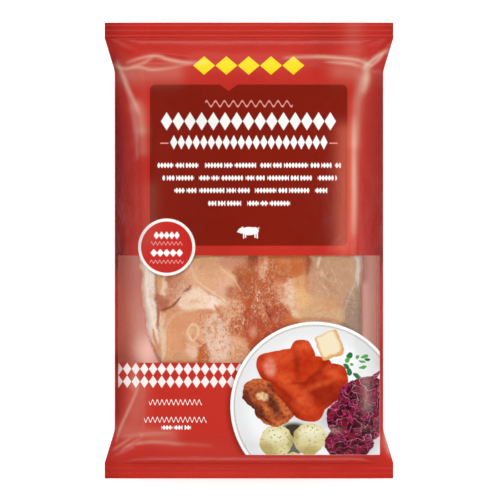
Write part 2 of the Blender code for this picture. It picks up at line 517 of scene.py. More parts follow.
def new_group(name, values, outputs=("Mask",)):
    """A shader node group that takes a place and named values, with its inner sockets."""
    group = bpy.data.node_groups.new(name, "ShaderNodeTree")
    face = group.interface
    face.new_socket("Place", in_out="INPUT", socket_type="NodeSocketVector")
    for label, value in values.items():
        socket = face.new_socket(label, in_out="INPUT", socket_type="NodeSocketFloat")
        socket.default_value = value
    for label in outputs:
        kind = "NodeSocketColor" if label == "Colour" else "NodeSocketFloat"
        face.new_socket(label, in_out="OUTPUT", socket_type=kind)
    inlet, outlet = group.nodes.new("NodeGroupInput"), group.nodes.new("NodeGroupOutput")
    return group, inlet.outputs, outlet.inputs


def use_group(tree, group, place, **values):
    """Places a group in a tree, with its inputs given by name, and returns its outputs."""
    node = tree.nodes.new("ShaderNodeGroup")
    node.node_tree = group
    set_inputs(tree, node, Place=place, **values)
    return node.outputs


def centred(tree, inlet):
    """A group's place, from the shape's centre and turned with the shape."""
    centre = new_node(tree, "CombineXYZ", inlet["X"], inlet["Y"])
    moved = vector_calc(tree, "SUBTRACT", inlet["Place"], centre)
    turned = tree.nodes.new("ShaderNodeVectorRotate")
    turned.rotation_type = "Z_AXIS"
    set_inputs(tree, turned, Vector=moved, Angle=times(tree, inlet["Turn"], -1.0))
    return vector_calc(tree, "MULTIPLY", turned.outputs[0], (1.0, 1.0, 0.0))


def make_bar_group():
    """A bar with rounded corners."""
    group, inlet, outlet = new_group("bar", {
        "X": 0, "Y": 0, "Turn": 0, "Half Width": 5, "Half Height": 1, "Corner": 0.5,
        "Blur": EDGE_BLUR})
    corner = inlet["Corner"]
    size = new_node(group, "CombineXYZ", calc(group, "SUBTRACT", inlet["Half Width"], corner),
                    calc(group, "SUBTRACT", inlet["Half Height"], corner))
    away = vector_calc(group, "ABSOLUTE", centred(group, inlet))
    away = vector_calc(group, "MAXIMUM", vector_calc(group, "SUBTRACT", away, size), (0, 0, 0))
    reach = calc(group, "SUBTRACT", vector_calc(group, "LENGTH", away, output=1), corner)
    feed(group, outlet[0], soft_edge(group, reach, inlet["Blur"]))
    return group


def make_oval_group():
    """An oval, with a soft edge if wanted."""
    group, inlet, outlet = new_group("oval", {
        "X": 0, "Y": 0, "Turn": 0, "Radius X": 1, "Radius Y": 1, "Blur": EDGE_BLUR})
    size = new_node(group, "CombineXYZ", inlet["Radius X"], inlet["Radius Y"], 1.0)
    inside = vector_calc(group, "DIVIDE", centred(group, inlet), size)
    reach = calc(group, "SUBTRACT", vector_calc(group, "LENGTH", inside, output=1), 1.0)
    reach = times(group, reach, calc(group, "MINIMUM", inlet["Radius X"], inlet["Radius Y"]))
    feed(group, outlet[0], soft_edge(group, reach, inlet["Blur"]))
    return group


def make_lozenge_group():
    """Rows and columns of lozenges that meet at their tips, inside a straight-sided field."""
    group, inlet, outlet = new_group("lozenges", {
        "Left": 0, "Right": 1, "Low": 0, "High": 1, "Width": 5, "Height": 7, "Fill": 1})
    parts = new_node(group, "SeparateXYZ", inlet["Place"]).node.outputs
    steps = []
    inside = 1.0
    for axis, low, high, size in ((0, "Left", "Right", "Width"), (1, "Low", "High", "Height")):
        from_low = calc(group, "SUBTRACT", parts[axis], inlet[low])
        to_high = calc(group, "SUBTRACT", inlet[high], parts[axis])
        cell = calc(group, "FRACT", calc(group, "DIVIDE", from_low, inlet[size]))
        steps.append(calc(group, "ABSOLUTE", calc(group, "MULTIPLY_ADD", cell, 2.0, -1.0)))
        for edge in (from_low, to_high):
            inside = times(group, inside, ramp(group, edge, 0.0, EDGE_BLUR))
    reach = calc(group, "SUBTRACT", calc(group, "ADD", *steps), inlet["Fill"])
    reach = times(group, reach, calc(group, "MULTIPLY", inlet["Width"], 0.4))
    feed(group, outlet[0], times(group, soft_edge(group, reach, EDGE_BLUR), inside))
    return group


def make_dash_group():
    """A line of dashes of uneven length, with narrow gaps."""
    group, inlet, outlet = new_group("dashes", {
        "X": 0, "Y": 0, "Half Width": 5, "Half Height": 1, "Dash": 9, "Gap": 0.16, "Start": 0})
    parts = new_node(group, "SeparateXYZ", inlet["Place"]).node.outputs
    along = calc(group, "ADD", calc(group, "DIVIDE", parts[0], inlet["Dash"]), inlet["Start"])
    sway = times(group, calc(group, "SINE", calc(group, "MULTIPLY", along, 2.3)), 0.3)
    cell = calc(group, "FRACT", calc(group, "ADD", along, sway))
    from_middle = calc(group, "ABSOLUTE", calc(group, "SUBTRACT", cell, 0.5))
    edge = calc(group, "SUBTRACT", 0.5, calc(group, "MULTIPLY", inlet["Gap"], 0.5))
    solid = soft_edge(group, calc(group, "SUBTRACT", from_middle, edge), 0.02)
    line = bar(group, inlet["Place"], inlet["X"], inlet["Y"], inlet["Half Width"],
               inlet["Half Height"], 0.3)
    feed(group, outlet[0], times(group, solid, line))
    return group


def make_thread_group():
    """Thin curling lines: the places where a noise passes its middle value."""
    group, inlet, outlet = new_group("threads", {"Scale": 1, "Width": 0.03, "Shift": 0})
    shift = new_node(group, "CombineXYZ", inlet["Shift"], times(group, inlet["Shift"], 2.0))
    shifted = vector_calc(group, "ADD", inlet["Place"], shift)
    noise = fractal(group, shifted, inlet["Scale"], 1.5, 0.5, 0.8)
    away = calc(group, "ABSOLUTE", calc(group, "SUBTRACT", noise, 0.5))
    inner = times(group, inlet["Width"], 0.3)
    feed(group, outlet[0], ramp(group, away, inner, inlet["Width"], 1.0, 0.0))
    return group


def make_wave_group():
    """A waving line with plain ends, like a flourish of a pen."""
    group, inlet, outlet = new_group("wave", {
        "X": 0, "Y": 0, "Half Width": 9, "Rise": 1, "Pitch": 5, "Thickness": 0.3})
    parts = new_node(group, "SeparateXYZ", inlet["Place"]).node.outputs
    turns = calc(group, "DIVIDE", parts[0], inlet["Pitch"])
    sway = calc(group, "SINE", calc(group, "MULTIPLY", turns, 2 * math.pi))
    middle = calc(group, "ADD", inlet["Y"], times(group, sway, inlet["Rise"]))
    away = calc(group, "ABSOLUTE", calc(group, "SUBTRACT", parts[1], middle))
    outer = calc(group, "MULTIPLY_ADD", inlet["Thickness"], 2.0, 0.1)
    line = ramp(group, away, inlet["Thickness"], outer, 1.0, 0.0)
    span = bar(group, inlet["Place"], inlet["X"], inlet["Y"], inlet["Half Width"],
               calc(group, "ADD", inlet["Rise"], 1.5), 0.4)
    feed(group, outlet[0], times(group, line, span))
    return group


BAR = make_bar_group()


def bar(tree, place, x, y, half_width, half_height, corner, turn=0.0, blur=EDGE_BLUR):
    return use_group(tree, BAR, place, X=x, Y=y, Turn=turn, Half_Width=half_width,
                     Half_Height=half_height, Corner=corner, Blur=blur)[0]


OVAL = make_oval_group()
LOZENGES = make_lozenge_group()
DASHES = make_dash_group()
WAVE = make_wave_group()
THREADS = make_thread_group()


def oval(tree, place, x, y, radius_x, radius_y, turn=0.0, blur=EDGE_BLUR):
    return use_group(tree, OVAL, place, X=x, Y=y, Turn=turn, Radius_X=radius_x,
                     Radius_Y=radius_y, Blur=blur)[0]


def lozenges(tree, place, left, right, low, high, width, fill=0.98, rows=1):
    return use_group(tree, LOZENGES, place, Left=left, Right=right, Low=low, High=high,
                     Width=width, Height=(high - low) / rows, Fill=fill)[0]


def wave(tree, place, x, y, half_width, rise, pitch, thickness):
    return use_group(tree, WAVE, place, X=x, Y=y, Half_Width=half_width, Rise=rise,
                     Pitch=pitch, Thickness=thickness)[0]


def threads(tree, place, scale, width, shift):
    return use_group(tree, THREADS, place, Scale=scale, Width=width, Shift=shift)[0]


RED_GROUND, RED_CLOUDS = paint(190, 48, 37), (0.02, 2.0, 0.35, 0.7)
FRONT_CLOUD, BACK_CLOUD = paint(186, 42, 33), paint(186, 42, 34)
PANEL_RED, BADGE_RED = paint(125, 26, 13), paint(194, 40, 34)
TOP_ROW_YELLOW, PRINT_WHITE = paint(255, 214, 0), paint(246, 243, 240)
FLOURISH_PINK = paint(224, 148, 138)
# Multiplier of the painted shade (also of the plate's printed shadow), and tint of the painted
# highlights.
DEEP_SHADE, PAINTED_HIGHLIGHT_TINT = (0.25, 0.0, 0.0, 1.0), (1.0, 0.86, 0.64, 1.0)
# Colour of the painted red sheen on the panel's right side.
PAINTED_SHEEN_RED = (1.0, 0.22, 0.13, 1.0)

PANEL_LEFT, PANEL_RIGHT, PANEL_LOW, PANEL_TOP, PANEL_CORNER = -55.5, 55.1, 2.7, 93.0, 2.8
# The notch, as one lozenge: left, right, low, high, width, fill.
NOTCH = (-16.4, -6.3, 89.4, 96.6, 10.1, 1.0)
TOP_ROW_LEFT, TOP_ROW_RIGHT, TOP_ROW_LOW, TOP_ROW_HIGH = -31.4, 31.1, 98.4, 109.0
TOP_ROW_COUNT = 5
# Large rows on the panel: left, right, low, high, count. Small ones: x, y, half span, dash.
LARGE_ROWS = ((-49.4, 48.8, 67.2, 77.6, 15), (-44.2, 44.0, 56.5, 64.7, 21))
SMALL_ROWS = ((0.1, 47.7, 51.5, 9.4), (0.4, 40.6, 49.0, 8.6), (0.4, 33.6, 43.5, 9.9),
              (0.4, 26.4, 23.4, 8.2))
PANEL_DASHES = ((-47.4, 60.1, 2.3, 0.35, 0.2), (47.3, 60.1, 2.3, 0.35, 0.2))
# Waves: x, y, half span, rise, pitch, thickness. Dashes: x, y, half sizes, corner.
PANEL_WAVE = (0.0, 82.2, 24.5, 1.5, 5.0, 0.35)
LOW_WAVES = ((-41.3, -85.0, 14.8, 1.25, 2.6, 0.24), (-41.3, -94.8, 17.5, 1.25, 2.6, 0.24))
LOW_ROW = (-41.3, -99.2, 8.8, 1.3, 1.7)
ROW_HALF_HEIGHT, ROW_LOZENGE, ROW_FILL = 1.55, 1.75, 1.16
BADGE_X, BADGE_Y, BADGE_RADIUS, BADGE_RING = -46.1, 1.9, 16.0, 1.6
# Ornaments of the badge: rise above its middle, then half span.
BADGE_ROWS, BADGE_WAVES = ((6.6, 7.2), (-3.2, 9.0)), ((2.1, 8.8), (-8.2, 9.4))
BADGE_ROW_HALF_HEIGHT, BADGE_ROW_FILL = 2.1, 1.1
# Rise, pitch and thickness of its waves.
BADGE_WAVE_FORM = (0.75, 2.3, 0.22)
BAND_TOP = WINDOW_BOTTOM
LOZENGE_WIDTH, LOZENGE_HEIGHT = 4.865, 7.13
BAND_FIRST = -73.2 - LOZENGE_WIDTH / 2
PLATE_X, PLATE_Y, PLATE_RADIUS = 37.1, -87.3, 47.5
PICTURE_RIGHT, PICTURE_LOW, PICTURE_HALF = 73.4, -114.6, 60.0
# The pig in ovals (x, y, radius x, radius y) and bars (x, y, half width, half height).
PIG_OVALS = ((0.0, 10.9, 4.6, 2.3), (-4.0, 11.1, 2.0, 1.6), (3.2, 11.1, 2.2, 2.0))
PIG_BARS = ((-6.0, 10.6, 0.6, 0.5), (-3.0, 8.2, 0.35, 1.5), (-1.9, 8.4, 0.35, 1.3),
            (3.4, 8.4, 0.35, 1.3), (4.6, 8.3, 0.4, 1.5), (-3.7, 12.8, 0.5, 0.5),
            (5.5, 12.6, 0.2, 0.6))


def small_row(tree, place, row_x, row_y, half_span, half_height, width, dash=9.0):
    """A row of small lozenges in uneven groups."""
    row = lozenges(tree, place, row_x - half_span, row_x + half_span, row_y - half_height,
                   row_y + half_height, width, ROW_FILL)
    gaps = use_group(tree, DASHES, place, X=row_x, Y=row_y, Half_Width=half_span,
                     Half_Height=half_height + 0.4, Dash=dash, Start=row_y)
    return times(tree, row, gaps[0])


def print_badge(tree, place, colour):
    """The round badge: a white ring round a red disc, with plain rows on it."""
    disc = oval(tree, place, BADGE_X, BADGE_Y, BADGE_RADIUS, BADGE_RADIUS)
    inner = BADGE_RADIUS - BADGE_RING
    colour = layer(tree, colour, PRINT_WHITE, disc)
    colour = layer(tree, colour, BADGE_RED, oval(tree, place, BADGE_X, BADGE_Y, inner, inner))
    for rise, half_span in BADGE_ROWS:
        low, high = (BADGE_Y + rise + side * BADGE_ROW_HALF_HEIGHT for side in (-1, 1))
        row = lozenges(tree, place, BADGE_X - half_span, BADGE_X + half_span, low, high,
                       half_span / 2.5, BADGE_ROW_FILL)
        colour = layer(tree, colour, PRINT_WHITE, row)
    for rise, half_span in BADGE_WAVES:
        line = wave(tree, place, BADGE_X, BADGE_Y + rise, half_span, *BADGE_WAVE_FORM)
        colour = layer(tree, colour, FLOURISH_PINK, line)
    return colour, disc


def print_pig(tree, place, colour):
    """A small standing pig, all in white."""
    mask = heap_mask(tree, place, PIG_OVALS)
    for part in PIG_BARS:
        mask = calc(tree, "MAXIMUM", mask, bar(tree, place, *part, 0.3))
    return layer(tree, colour, PRINT_WHITE, mask)


def print_panel(tree, place, colour):
    """The dark panel with its notch and its rows of ornaments."""
    panel = bar(tree, place, (PANEL_LEFT + PANEL_RIGHT) / 2, (PANEL_LOW + PANEL_TOP) / 2,
                (PANEL_RIGHT - PANEL_LEFT) / 2, (PANEL_TOP - PANEL_LOW) / 2, PANEL_CORNER)
    notch = lozenges(tree, place, *NOTCH)
    panel = times(tree, panel, calc(tree, "SUBTRACT", 1.0, notch))
    colour = layer(tree, colour, PANEL_RED, panel)
    colour = layer(tree, colour, FLOURISH_PINK, wave(tree, place, *PANEL_WAVE))
    for left, right, low, high, count in LARGE_ROWS:
        row = lozenges(tree, place, left, right, low, high, (right - left) / count)
        colour = layer(tree, colour, PRINT_WHITE, row)
    for dash in PANEL_DASHES:
        colour = layer(tree, colour, FLOURISH_PINK, bar(tree, place, *dash))
    for row_x, row_y, half_span, dash in SMALL_ROWS:
        row = small_row(tree, place, row_x, row_y, half_span, ROW_HALF_HEIGHT, ROW_LOZENGE, dash)
        colour = layer(tree, colour, PRINT_WHITE, row)
    return print_pig(tree, place, colour)


# Colours of the pictured meal.
ROAST_RED, GLAZE, ROAST_DARK = paint(192, 56, 22), paint(216, 88, 46), paint(144, 36, 14)
CUT_BROWN, CUT_DARK, CUT_ORANGE = paint(172, 86, 50), paint(86, 38, 26), paint(212, 116, 62)
MARROW, GLAZE_SHINE = paint(240, 206, 158), paint(232, 150, 128)
DUMPLING, DUMPLING_SHADE, GAP_BROWN = paint(220, 207, 154), paint(178, 152, 86), paint(62, 54, 40)
DUMPLING_LIGHT, DUMPLING_HERB = paint(240, 234, 204), paint(146, 164, 82)
LEAF, LEAF_DARK = paint(82, 164, 66), paint(38, 110, 54)
BONE_PALE, BONE_CRUST = paint(238, 223, 190), paint(216, 164, 96)
MOTTLE, MOTTLE_DARK = paint(234, 200, 186), paint(190, 136, 116)
CABBAGE_DARK, CABBAGE_PURPLE = paint(56, 10, 22), paint(112, 20, 46)
# Shreds of cabbage: shift, scale, width, colour. Rings of the plate: inset, colour, blur.
SHREDS = ((5.0, 0.13, 0.028, paint(150, 34, 78)), (31.0, 0.17, 0.02, paint(174, 60, 104)),
          (57.0, 0.11, 0.008, paint(206, 126, 158)))
PLATE_WHITE = paint(254, 253, 252)
# How far the plate's shadow is off, its blur and its strength.
SHADOW_LEFT, SHADOW_DOWN, SHADOW_WIDER, SHADOW_BLUR, SHADOW_SHARE = 0.6, 0.8, 0.6, 3.0, 0.75
SHADING_SHARE = 0.85
# Waviness of the heaps' edges and of the roast's: a noise's scale, reach, detail and roughness.
RAGGED_EDGE, SMOOTH_EDGE = (0.16, 3.6, 3.0, 0.55), (0.07, 6.0, 1.0)
# Specks: a noise's scale and detail, then the range that shows.
HERBS, CABBAGE_CLOUD = (0.75, 1.0, 0.62, 0.66), (0.2, 2.0, 0.42, 0.6)
CABBAGE_FLECKS = (0.62, 1.0, 0.68, 0.72)
# The bone's cut end and its pale face: x, y, half width, half height, corner, turn.
BONE, BONE_FACE, FACE_BLUR = (45.2, -53, 6.8, 7.4, 2, 0.35), (44.7, -52.4, 5.6, 6.2, 2, 0.35), 1.2
PLATE_RINGS = ((1.7, paint(190, 182, 174), 0.45), (2.5, paint(226, 226, 227), 0.5),
               (9.0, paint(240, 241, 242), 5.0))
# An oval is x, y, radius x, radius y and turn. Each heap: its colour, its ovals, then its
# shading as colour, blur and oval.
MEAL = (
    (DUMPLING, ((26, -118.6, 8, 5, 0),), ()),
    (DUMPLING, ((15.3, -107.2, 9.2, 9, 0),), (
        (DUMPLING_SHADE, 2.5, 10, -112.5, 4, 6, 0.9),
        (DUMPLING_SHADE, 1.5, 23.8, -107, 1.6, 7, 0),
        (DUMPLING_LIGHT, 2.5, 15, -103.5, 5, 3.5, 0))),
    (DUMPLING, ((34, -105.4, 9.2, 9.1, 0),), (
        (DUMPLING_SHADE, 2, 33, -112.5, 7, 2.6, 0),
        (DUMPLING_SHADE, 2, 26, -103, 1.6, 6, 0),
        (DUMPLING_LIGHT, 2.5, 35, -102, 5, 3.5, 0))),
    (CUT_BROWN, ((7, -80.8, 11, 9, -0.3), (14.5, -88.2, 11.5, 10.4, 0)), (
        (CUT_ORANGE, 1.5, 8, -73.5, 8, 2.6, 0.2), (CUT_ORANGE, 1.2, 19.5, -86.5, 2.4, 8, 0.4),
        (CUT_DARK, 1.5, -1.5, -83, 2.4, 5, 0.5), (CUT_DARK, 1.2, 4, -89.5, 5.5, 2.8, -0.7),
        (CUT_DARK, 1.5, 13, -85.5, 2, 7, 0.6), (CUT_DARK, 1, 23.4, -88, 1.2, 8, 0.6),
        (CUT_ORANGE, 0.8, 15, -96.8, 7, 1.6, 0), (CUT_DARK, 1, 9.5, -95, 4, 1, -0.5),
        (CUT_DARK, 0.8, 14, -78, 1, 4.5, 0.7), (CUT_ORANGE, 0.8, 9.5, -88, 1.2, 4.5, 0.5),
        (MARROW, 0.9, 7.4, -81.6, 3, 2.6, 0))),
    (ROAST_RED, ((28.5, -73, 22, 15, -0.7), (13.6, -65.2, 9.8, 10.2, 0),
                 (29.6, -58.4, 7.8, 8.4, 0), (45.4, -74.6, 9.6, 11.4, -0.35),
                 (32.5, -85.4, 11.5, 9.6, -0.6), (21, -61, 9, 6, 0.3),
                 (39, -65.5, 7, 7, 0), (40.5, -82, 9.5, 7.5, 0.6)), (
        (ROAST_DARK, 4, 21, -88, 12, 4, -0.9), (ROAST_DARK, 4, 50, -84, 5, 9, -0.7),
        (ROAST_DARK, 3, 8, -74, 3, 6, 0.7), (ROAST_DARK, 5, 40, -79.5, 9.5, 7, 0.4),
        (GLAZE, 3.5, 16, -60, 8, 3, 0.3), (GLAZE, 3, 31, -53.5, 5, 3, 0.2),
        (GLAZE, 3.5, 30, -84, 8, 4, -0.9), (GLAZE, 3, 20, -72, 6, 3.5, -0.6),
        (ROAST_DARK, 1.2, 30, -74, 6, 0.9, 0.05), (ROAST_DARK, 2, 41, -65.5, 1.5, 6, -0.6),
        (ROAST_DARK, 1.8, 27, -63, 1.6, 6, 0.2), (ROAST_DARK, 1.5, 19, -79, 8, 1, -0.7),
        (ROAST_DARK, 1.5, 36, -70, 5, 0.9, 0.6), (ROAST_DARK, 1.2, 44, -84, 4, 0.9, 0.7),
        (GLAZE, 2.5, 47, -68.5, 4.5, 2.2, -0.5), (GLAZE, 2, 40, -75, 7, 1.2, 0.4),
        (GLAZE_SHINE, 2, 11.8, -65.6, 3.2, 4.4, 0.2))),
)
# Shadows on the plate: blur, oval, strength. Leaves: colour, oval.
SOFT_SHADOWS = (
    (4, 29, -78, 25, 19, -0.6, 0.22), (3, 58, -99, 18, 18, 0, 0.22),
    (1.5, 25, -101, 8, 4.6, 0, 1), (1.2, 25, -112, 4, 6, 0, 0.9),
)
LEAVES = (
    (LEAF_DARK, 56.2, -58.6, 2.2, 1.5, 0.7), (LEAF, 55, -61.2, 1.2, 2, -0.3),
    (LEAF_DARK, 54.6, -65, 2.2, 1.2, -0.5), (LEAF_DARK, 56.4, -68, 1.6, 2, 0.3),
    (LEAF, 57.8, -63.8, 1.2, 1, 0), (LEAF, 61, -59.8, 1, 1.4, 0),
    (LEAF, 64.6, -59, 2, 1.2, 0.5), (LEAF_DARK, 66.2, -61, 1.5, 1, 0),
    (LEAF, 63.4, -62.2, 1.6, 0.7, -0.3), (LEAF, 63.6, -65.4, 2.3, 0.8, 0.15),
    (LEAF_DARK, 60.2, -70, 1.8, 1.2, -0.4), (LEAF, 62, -71.6, 1, 1.2, 0.2),
)
CABBAGE = (
    (66, -87, 17, 16.6, 0.2), (59, -96, 16, 12.5, -0.4), (56, -108, 13.6, 9.5, 0),
    (70, -71.5, 6, 1.2, 0.9),
)


def heap_mask(tree, place, ovals):
    """Where any of the ovals is."""
    mask = 0.0
    for one in ovals:
        mask = calc(tree, "MAXIMUM", mask, oval(tree, place, *one))
    return mask


def specks(tree, place, scale, detail, low, high, to_low=0.0, to_high=1.0, grain=(0.5, 0.0)):
    """Random specks, where a noise lies in the range that shows."""
    return ramp(tree, fractal(tree, place, scale, detail, *grain), low, high, to_low, to_high)


def print_meal(tree, place, ragged, smooth, colour, plate):
    """Dumplings, a cut end of meat and the glazed roast, each shaded inside its own edge."""
    for blur, *spot, share in SOFT_SHADOWS:
        spot = times(tree, oval(tree, place, *spot, blur=blur), share, plate)
        colour = layer(tree, colour, GAP_BROWN, spot)
    for tint, ovals, shading in MEAL:
        heap = tint
        for shade, blur, *spot in shading:
            spot = oval(tree, ragged, *spot, blur=blur)
            heap = layer(tree, heap, shade, times(tree, spot, SHADING_SHARE))
        if tint == DUMPLING:
            heap = layer(tree, heap, DUMPLING_HERB, specks(tree, place, *HERBS))
        else:
            uneven = fractal(tree, place, 0.5 if tint == CUT_BROWN else 0.2, 4.0, 0.6)
            heap = layer(tree, heap, MOTTLE_DARK if tint == CUT_BROWN else MOTTLE,
                         ramp(tree, uneven, 0.4, 0.7), "MULTIPLY")
        mask = heap_mask(tree, smooth if tint == ROAST_RED else ragged, ovals)
        colour = layer(tree, colour, heap, times(tree, mask, plate))
    for tint, *leaf in LEAVES:
        colour = layer(tree, colour, tint, times(tree, oval(tree, ragged, *leaf), plate))
    return colour


def print_cabbage(tree, place, ragged, colour, plate):
    """Shredded purple cabbage: a dark heap with curling lighter shreds and green flecks."""
    tint = layer(tree, CABBAGE_DARK, CABBAGE_PURPLE, specks(tree, place, *CABBAGE_CLOUD))
    for shift, scale, width, shred in SHREDS:
        tint = layer(tree, tint, shred, threads(tree, place, scale, width, shift))
    tint = layer(tree, tint, LEAF, specks(tree, place, *CABBAGE_FLECKS))
    return layer(tree, colour, tint, times(tree, heap_mask(tree, ragged, CABBAGE), plate))


def shaken(tree, place, scale, amount, *noise):
    """A place shifted a little at random."""
    shift = vector_calc(tree, "SUBTRACT", fractal(tree, place, scale, *noise, output=1),
                        (0.5, 0.5, 0.5))
    return vector_calc(tree, "ADD", place,
                       vector_calc(tree, "MULTIPLY", shift, (amount, amount, 0.0)))


def print_plate(tree, place, colour):
    """A white plate cut off by the picture's edge, with a glazed roast, cabbage and dumplings."""
    picture = bar(tree, place, PICTURE_RIGHT - PICTURE_HALF, PICTURE_LOW + PICTURE_HALF,
                  PICTURE_HALF, PICTURE_HALF, 0.2)
    wider = PLATE_RADIUS + SHADOW_WIDER
    shadow = oval(tree, place, PLATE_X - SHADOW_LEFT, PLATE_Y - SHADOW_DOWN, wider, wider,
                  blur=SHADOW_BLUR)
    shadow = times(tree, shadow, picture, SHADOW_SHARE)
    colour = layer(tree, colour, DEEP_SHADE, shadow, "MULTIPLY")
    plate = times(tree, oval(tree, place, PLATE_X, PLATE_Y, PLATE_RADIUS, PLATE_RADIUS), picture)
    colour = layer(tree, colour, PLATE_WHITE, plate)
    for inset, tint, blur in PLATE_RINGS:
        radius = PLATE_RADIUS - inset
        ring = oval(tree, place, PLATE_X, PLATE_Y, radius, radius, blur=blur)
        colour = layer(tree, colour, tint, times(tree, ring, plate))
    ragged = shaken(tree, place, *RAGGED_EDGE)
    smooth = shaken(tree, place, *SMOOTH_EDGE)
    colour = print_meal(tree, place, ragged, smooth, colour, plate)
    colour = print_cabbage(tree, place, ragged, colour, plate)
    bone = times(tree, bar(tree, ragged, *BONE), plate)
    colour = layer(tree, colour, BONE_CRUST, bone)
    face = times(tree, bar(tree, ragged, *BONE_FACE, blur=FACE_BLUR), plate)
    return layer(tree, colour, BONE_PALE, face), plate


def red_ground(tree, place, cloud):
    """The film's red, a little cloudy."""
    return layer(tree, RED_GROUND, cloud, specks(tree, place, *RED_CLOUDS))


def make_print_group():
    """The whole print: its colour, and where the film over the window bears ink."""
    group, inlet, outlet = new_group("pack_print", {}, ("Colour", "Ink"))
    place = vector_calc(group, "MULTIPLY", inlet["Place"], (1.0, 1.0, 0.0))
    colour = red_ground(group, place, FRONT_CLOUD)
    row = lozenges(group, place, TOP_ROW_LEFT, TOP_ROW_RIGHT, TOP_ROW_LOW, TOP_ROW_HIGH,
                   (TOP_ROW_RIGHT - TOP_ROW_LEFT) / TOP_ROW_COUNT)
    colour = layer(group, colour, TOP_ROW_YELLOW, row)
    colour = print_panel(group, place, colour)
    band = lozenges(group, place, BAND_FIRST, WINDOW_RIGHT, BAND_TOP - 2 * LOZENGE_HEIGHT,
                    BAND_TOP, LOZENGE_WIDTH, 0.97, rows=2)
    inside = bar(group, place, 0.0, BAND_TOP - LOZENGE_HEIGHT, WINDOW_RIGHT,
                 2 * LOZENGE_HEIGHT, 0.1)
    colour = layer(group, colour, PRINT_WHITE, times(group, band, inside))
    for line in LOW_WAVES:
        colour = layer(group, colour, PRINT_WHITE, wave(group, place, *line))
    colour = layer(group, colour, PRINT_WHITE, small_row(group, place, *LOW_ROW))
    colour, plate = print_plate(group, place, colour)
    colour, badge = print_badge(group, place, colour)
    feed(group, outlet["Colour"], colour)
    feed(group, outlet["Ink"], calc(group, "MAXIMUM", plate, badge))
    return group


PACK_PRINT = make_print_group()

CREASE_DEPTH, CREASE_STRENGTH = 0.0012, 0.5
FILM_ROUGHNESS_LOW, FILM_ROUGHNESS_HIGH = 0.18, 0.25
FILM_IOR, FILM_MIRROR = 1.48, 0.038
SLACK_PINK, SLACK_PALE = paint(248, 146, 126), paint(248, 196, 182)
CLEAR_HAZE, CLEAR_ROUGHNESS = 0.012, 0.2
MILKY_RED, MILKY_CLOUD = paint(252, 140, 116), paint(246, 126, 104)
MILKY_CLOUDS = (0.06, 3.0, 0.3, 0.7)
# Soft and small creases: a noise's scale, detail, roughness and distortion.
SOFT_CREASES, SMALL_CREASES = (0.045, 3.0, 0.45, 0.6), (0.28, 4.0, 0.55, 0.4)
SMALL_SHARE = 0.12


def make_creasing_group():
    """Fine creasing of thin film: a soft uneven relief and slightly uneven gloss."""
    group, inlet, outlet = new_group("film_creasing", {}, ("Height", "Gloss"))
    soft = fractal(group, inlet["Place"], *SOFT_CREASES)
    small = fractal(group, inlet["Place"], *SMALL_CREASES)
    feed(group, outlet["Height"], calc(group, "MULTIPLY_ADD", small, SMALL_SHARE, soft))
    feed(group, outlet["Gloss"], ramp(group, small, 0.3, 0.7))
    return group


CREASING = make_creasing_group()


def new_material(name):
    """A node material with only its output node."""
    material = bpy.data.materials.new(name)
    material.use_nodes = True
    tree = material.node_tree
    tree.nodes.clear()
    return material, tree, tree.nodes.new("ShaderNodeOutputMaterial").inputs["Surface"]


def object_place(tree):
    """Where a point of the piece is, in mm."""
    node = tree.nodes.new("ShaderNodeTexCoord")
    return vector_calc(tree, "MULTIPLY", node.outputs["Object"], (1000.0, 1000.0, 1000.0))


def painted_light_and_haze(tree):
    """The film's tones at a point: painted shade, painted highlight, slack haze and painted red
    sheen, each from 0 to 1.
    """
    tint = tree.nodes.new("ShaderNodeAttribute")
    tint.attribute_name = "painted_light_and_haze"
    parts = new_node(tree, "SeparateColor", tint.outputs["Color"]).node.outputs
    return *parts, tint.outputs["Alpha"]


def with_painted_light(tree, colour):
    """A print colour under the film's painted red sheen, painted shade and painted highlights."""
    dark, pale, _, glow = painted_light_and_haze(tree)
    colour = layer(tree, colour, PAINTED_SHEEN_RED, glow)
    colour = layer(tree, colour, DEEP_SHADE, dark, "MULTIPLY")
    return layer(tree, colour, PAINTED_HIGHLIGHT_TINT, pale)


def set_relief(tree, shader, height, strength, depth):
    """Gives a shader a fine relief, and returns the uneven normal."""
    bump = tree.nodes.new("ShaderNodeBump")
    set_inputs(tree, bump, Strength=strength, Distance=depth, Height=height)
    feed(tree, shader.inputs["Normal"], bump.outputs[0])
    return bump.outputs[0]


def film_shader(tree, colour, place):
    """The glossy printed film: its shader, and its creased normal."""
    height, gloss = use_group(tree, CREASING, place)
    shader = tree.nodes.new("ShaderNodeBsdfPrincipled")
    set_inputs(tree, shader, IOR=FILM_IOR, Base_Color=colour, Roughness=ramp(
        tree, gloss, 0.0, 1.0, FILM_ROUGHNESS_LOW, FILM_ROUGHNESS_HIGH))
    return shader.outputs[0], set_relief(tree, shader, height, CREASE_STRENGTH, CREASE_DEPTH)


def mix_shaders(tree, share, first, second):
    node = tree.nodes.new("ShaderNodeMixShader")
    for socket, value in zip(node.inputs, (share, first, second)):
        feed(tree, socket, value)
    return node.outputs[0]


def printed_film_material():
    """The red film with its print, under painted sheen, painted shade and painted highlights."""
    material, tree, surface = new_material("printed_film")
    place = object_place(tree)
    colour = with_painted_light(tree, use_group(tree, PACK_PRINT, place)["Colour"])
    feed(tree, surface, film_shader(tree, colour, place)[0])
    return material


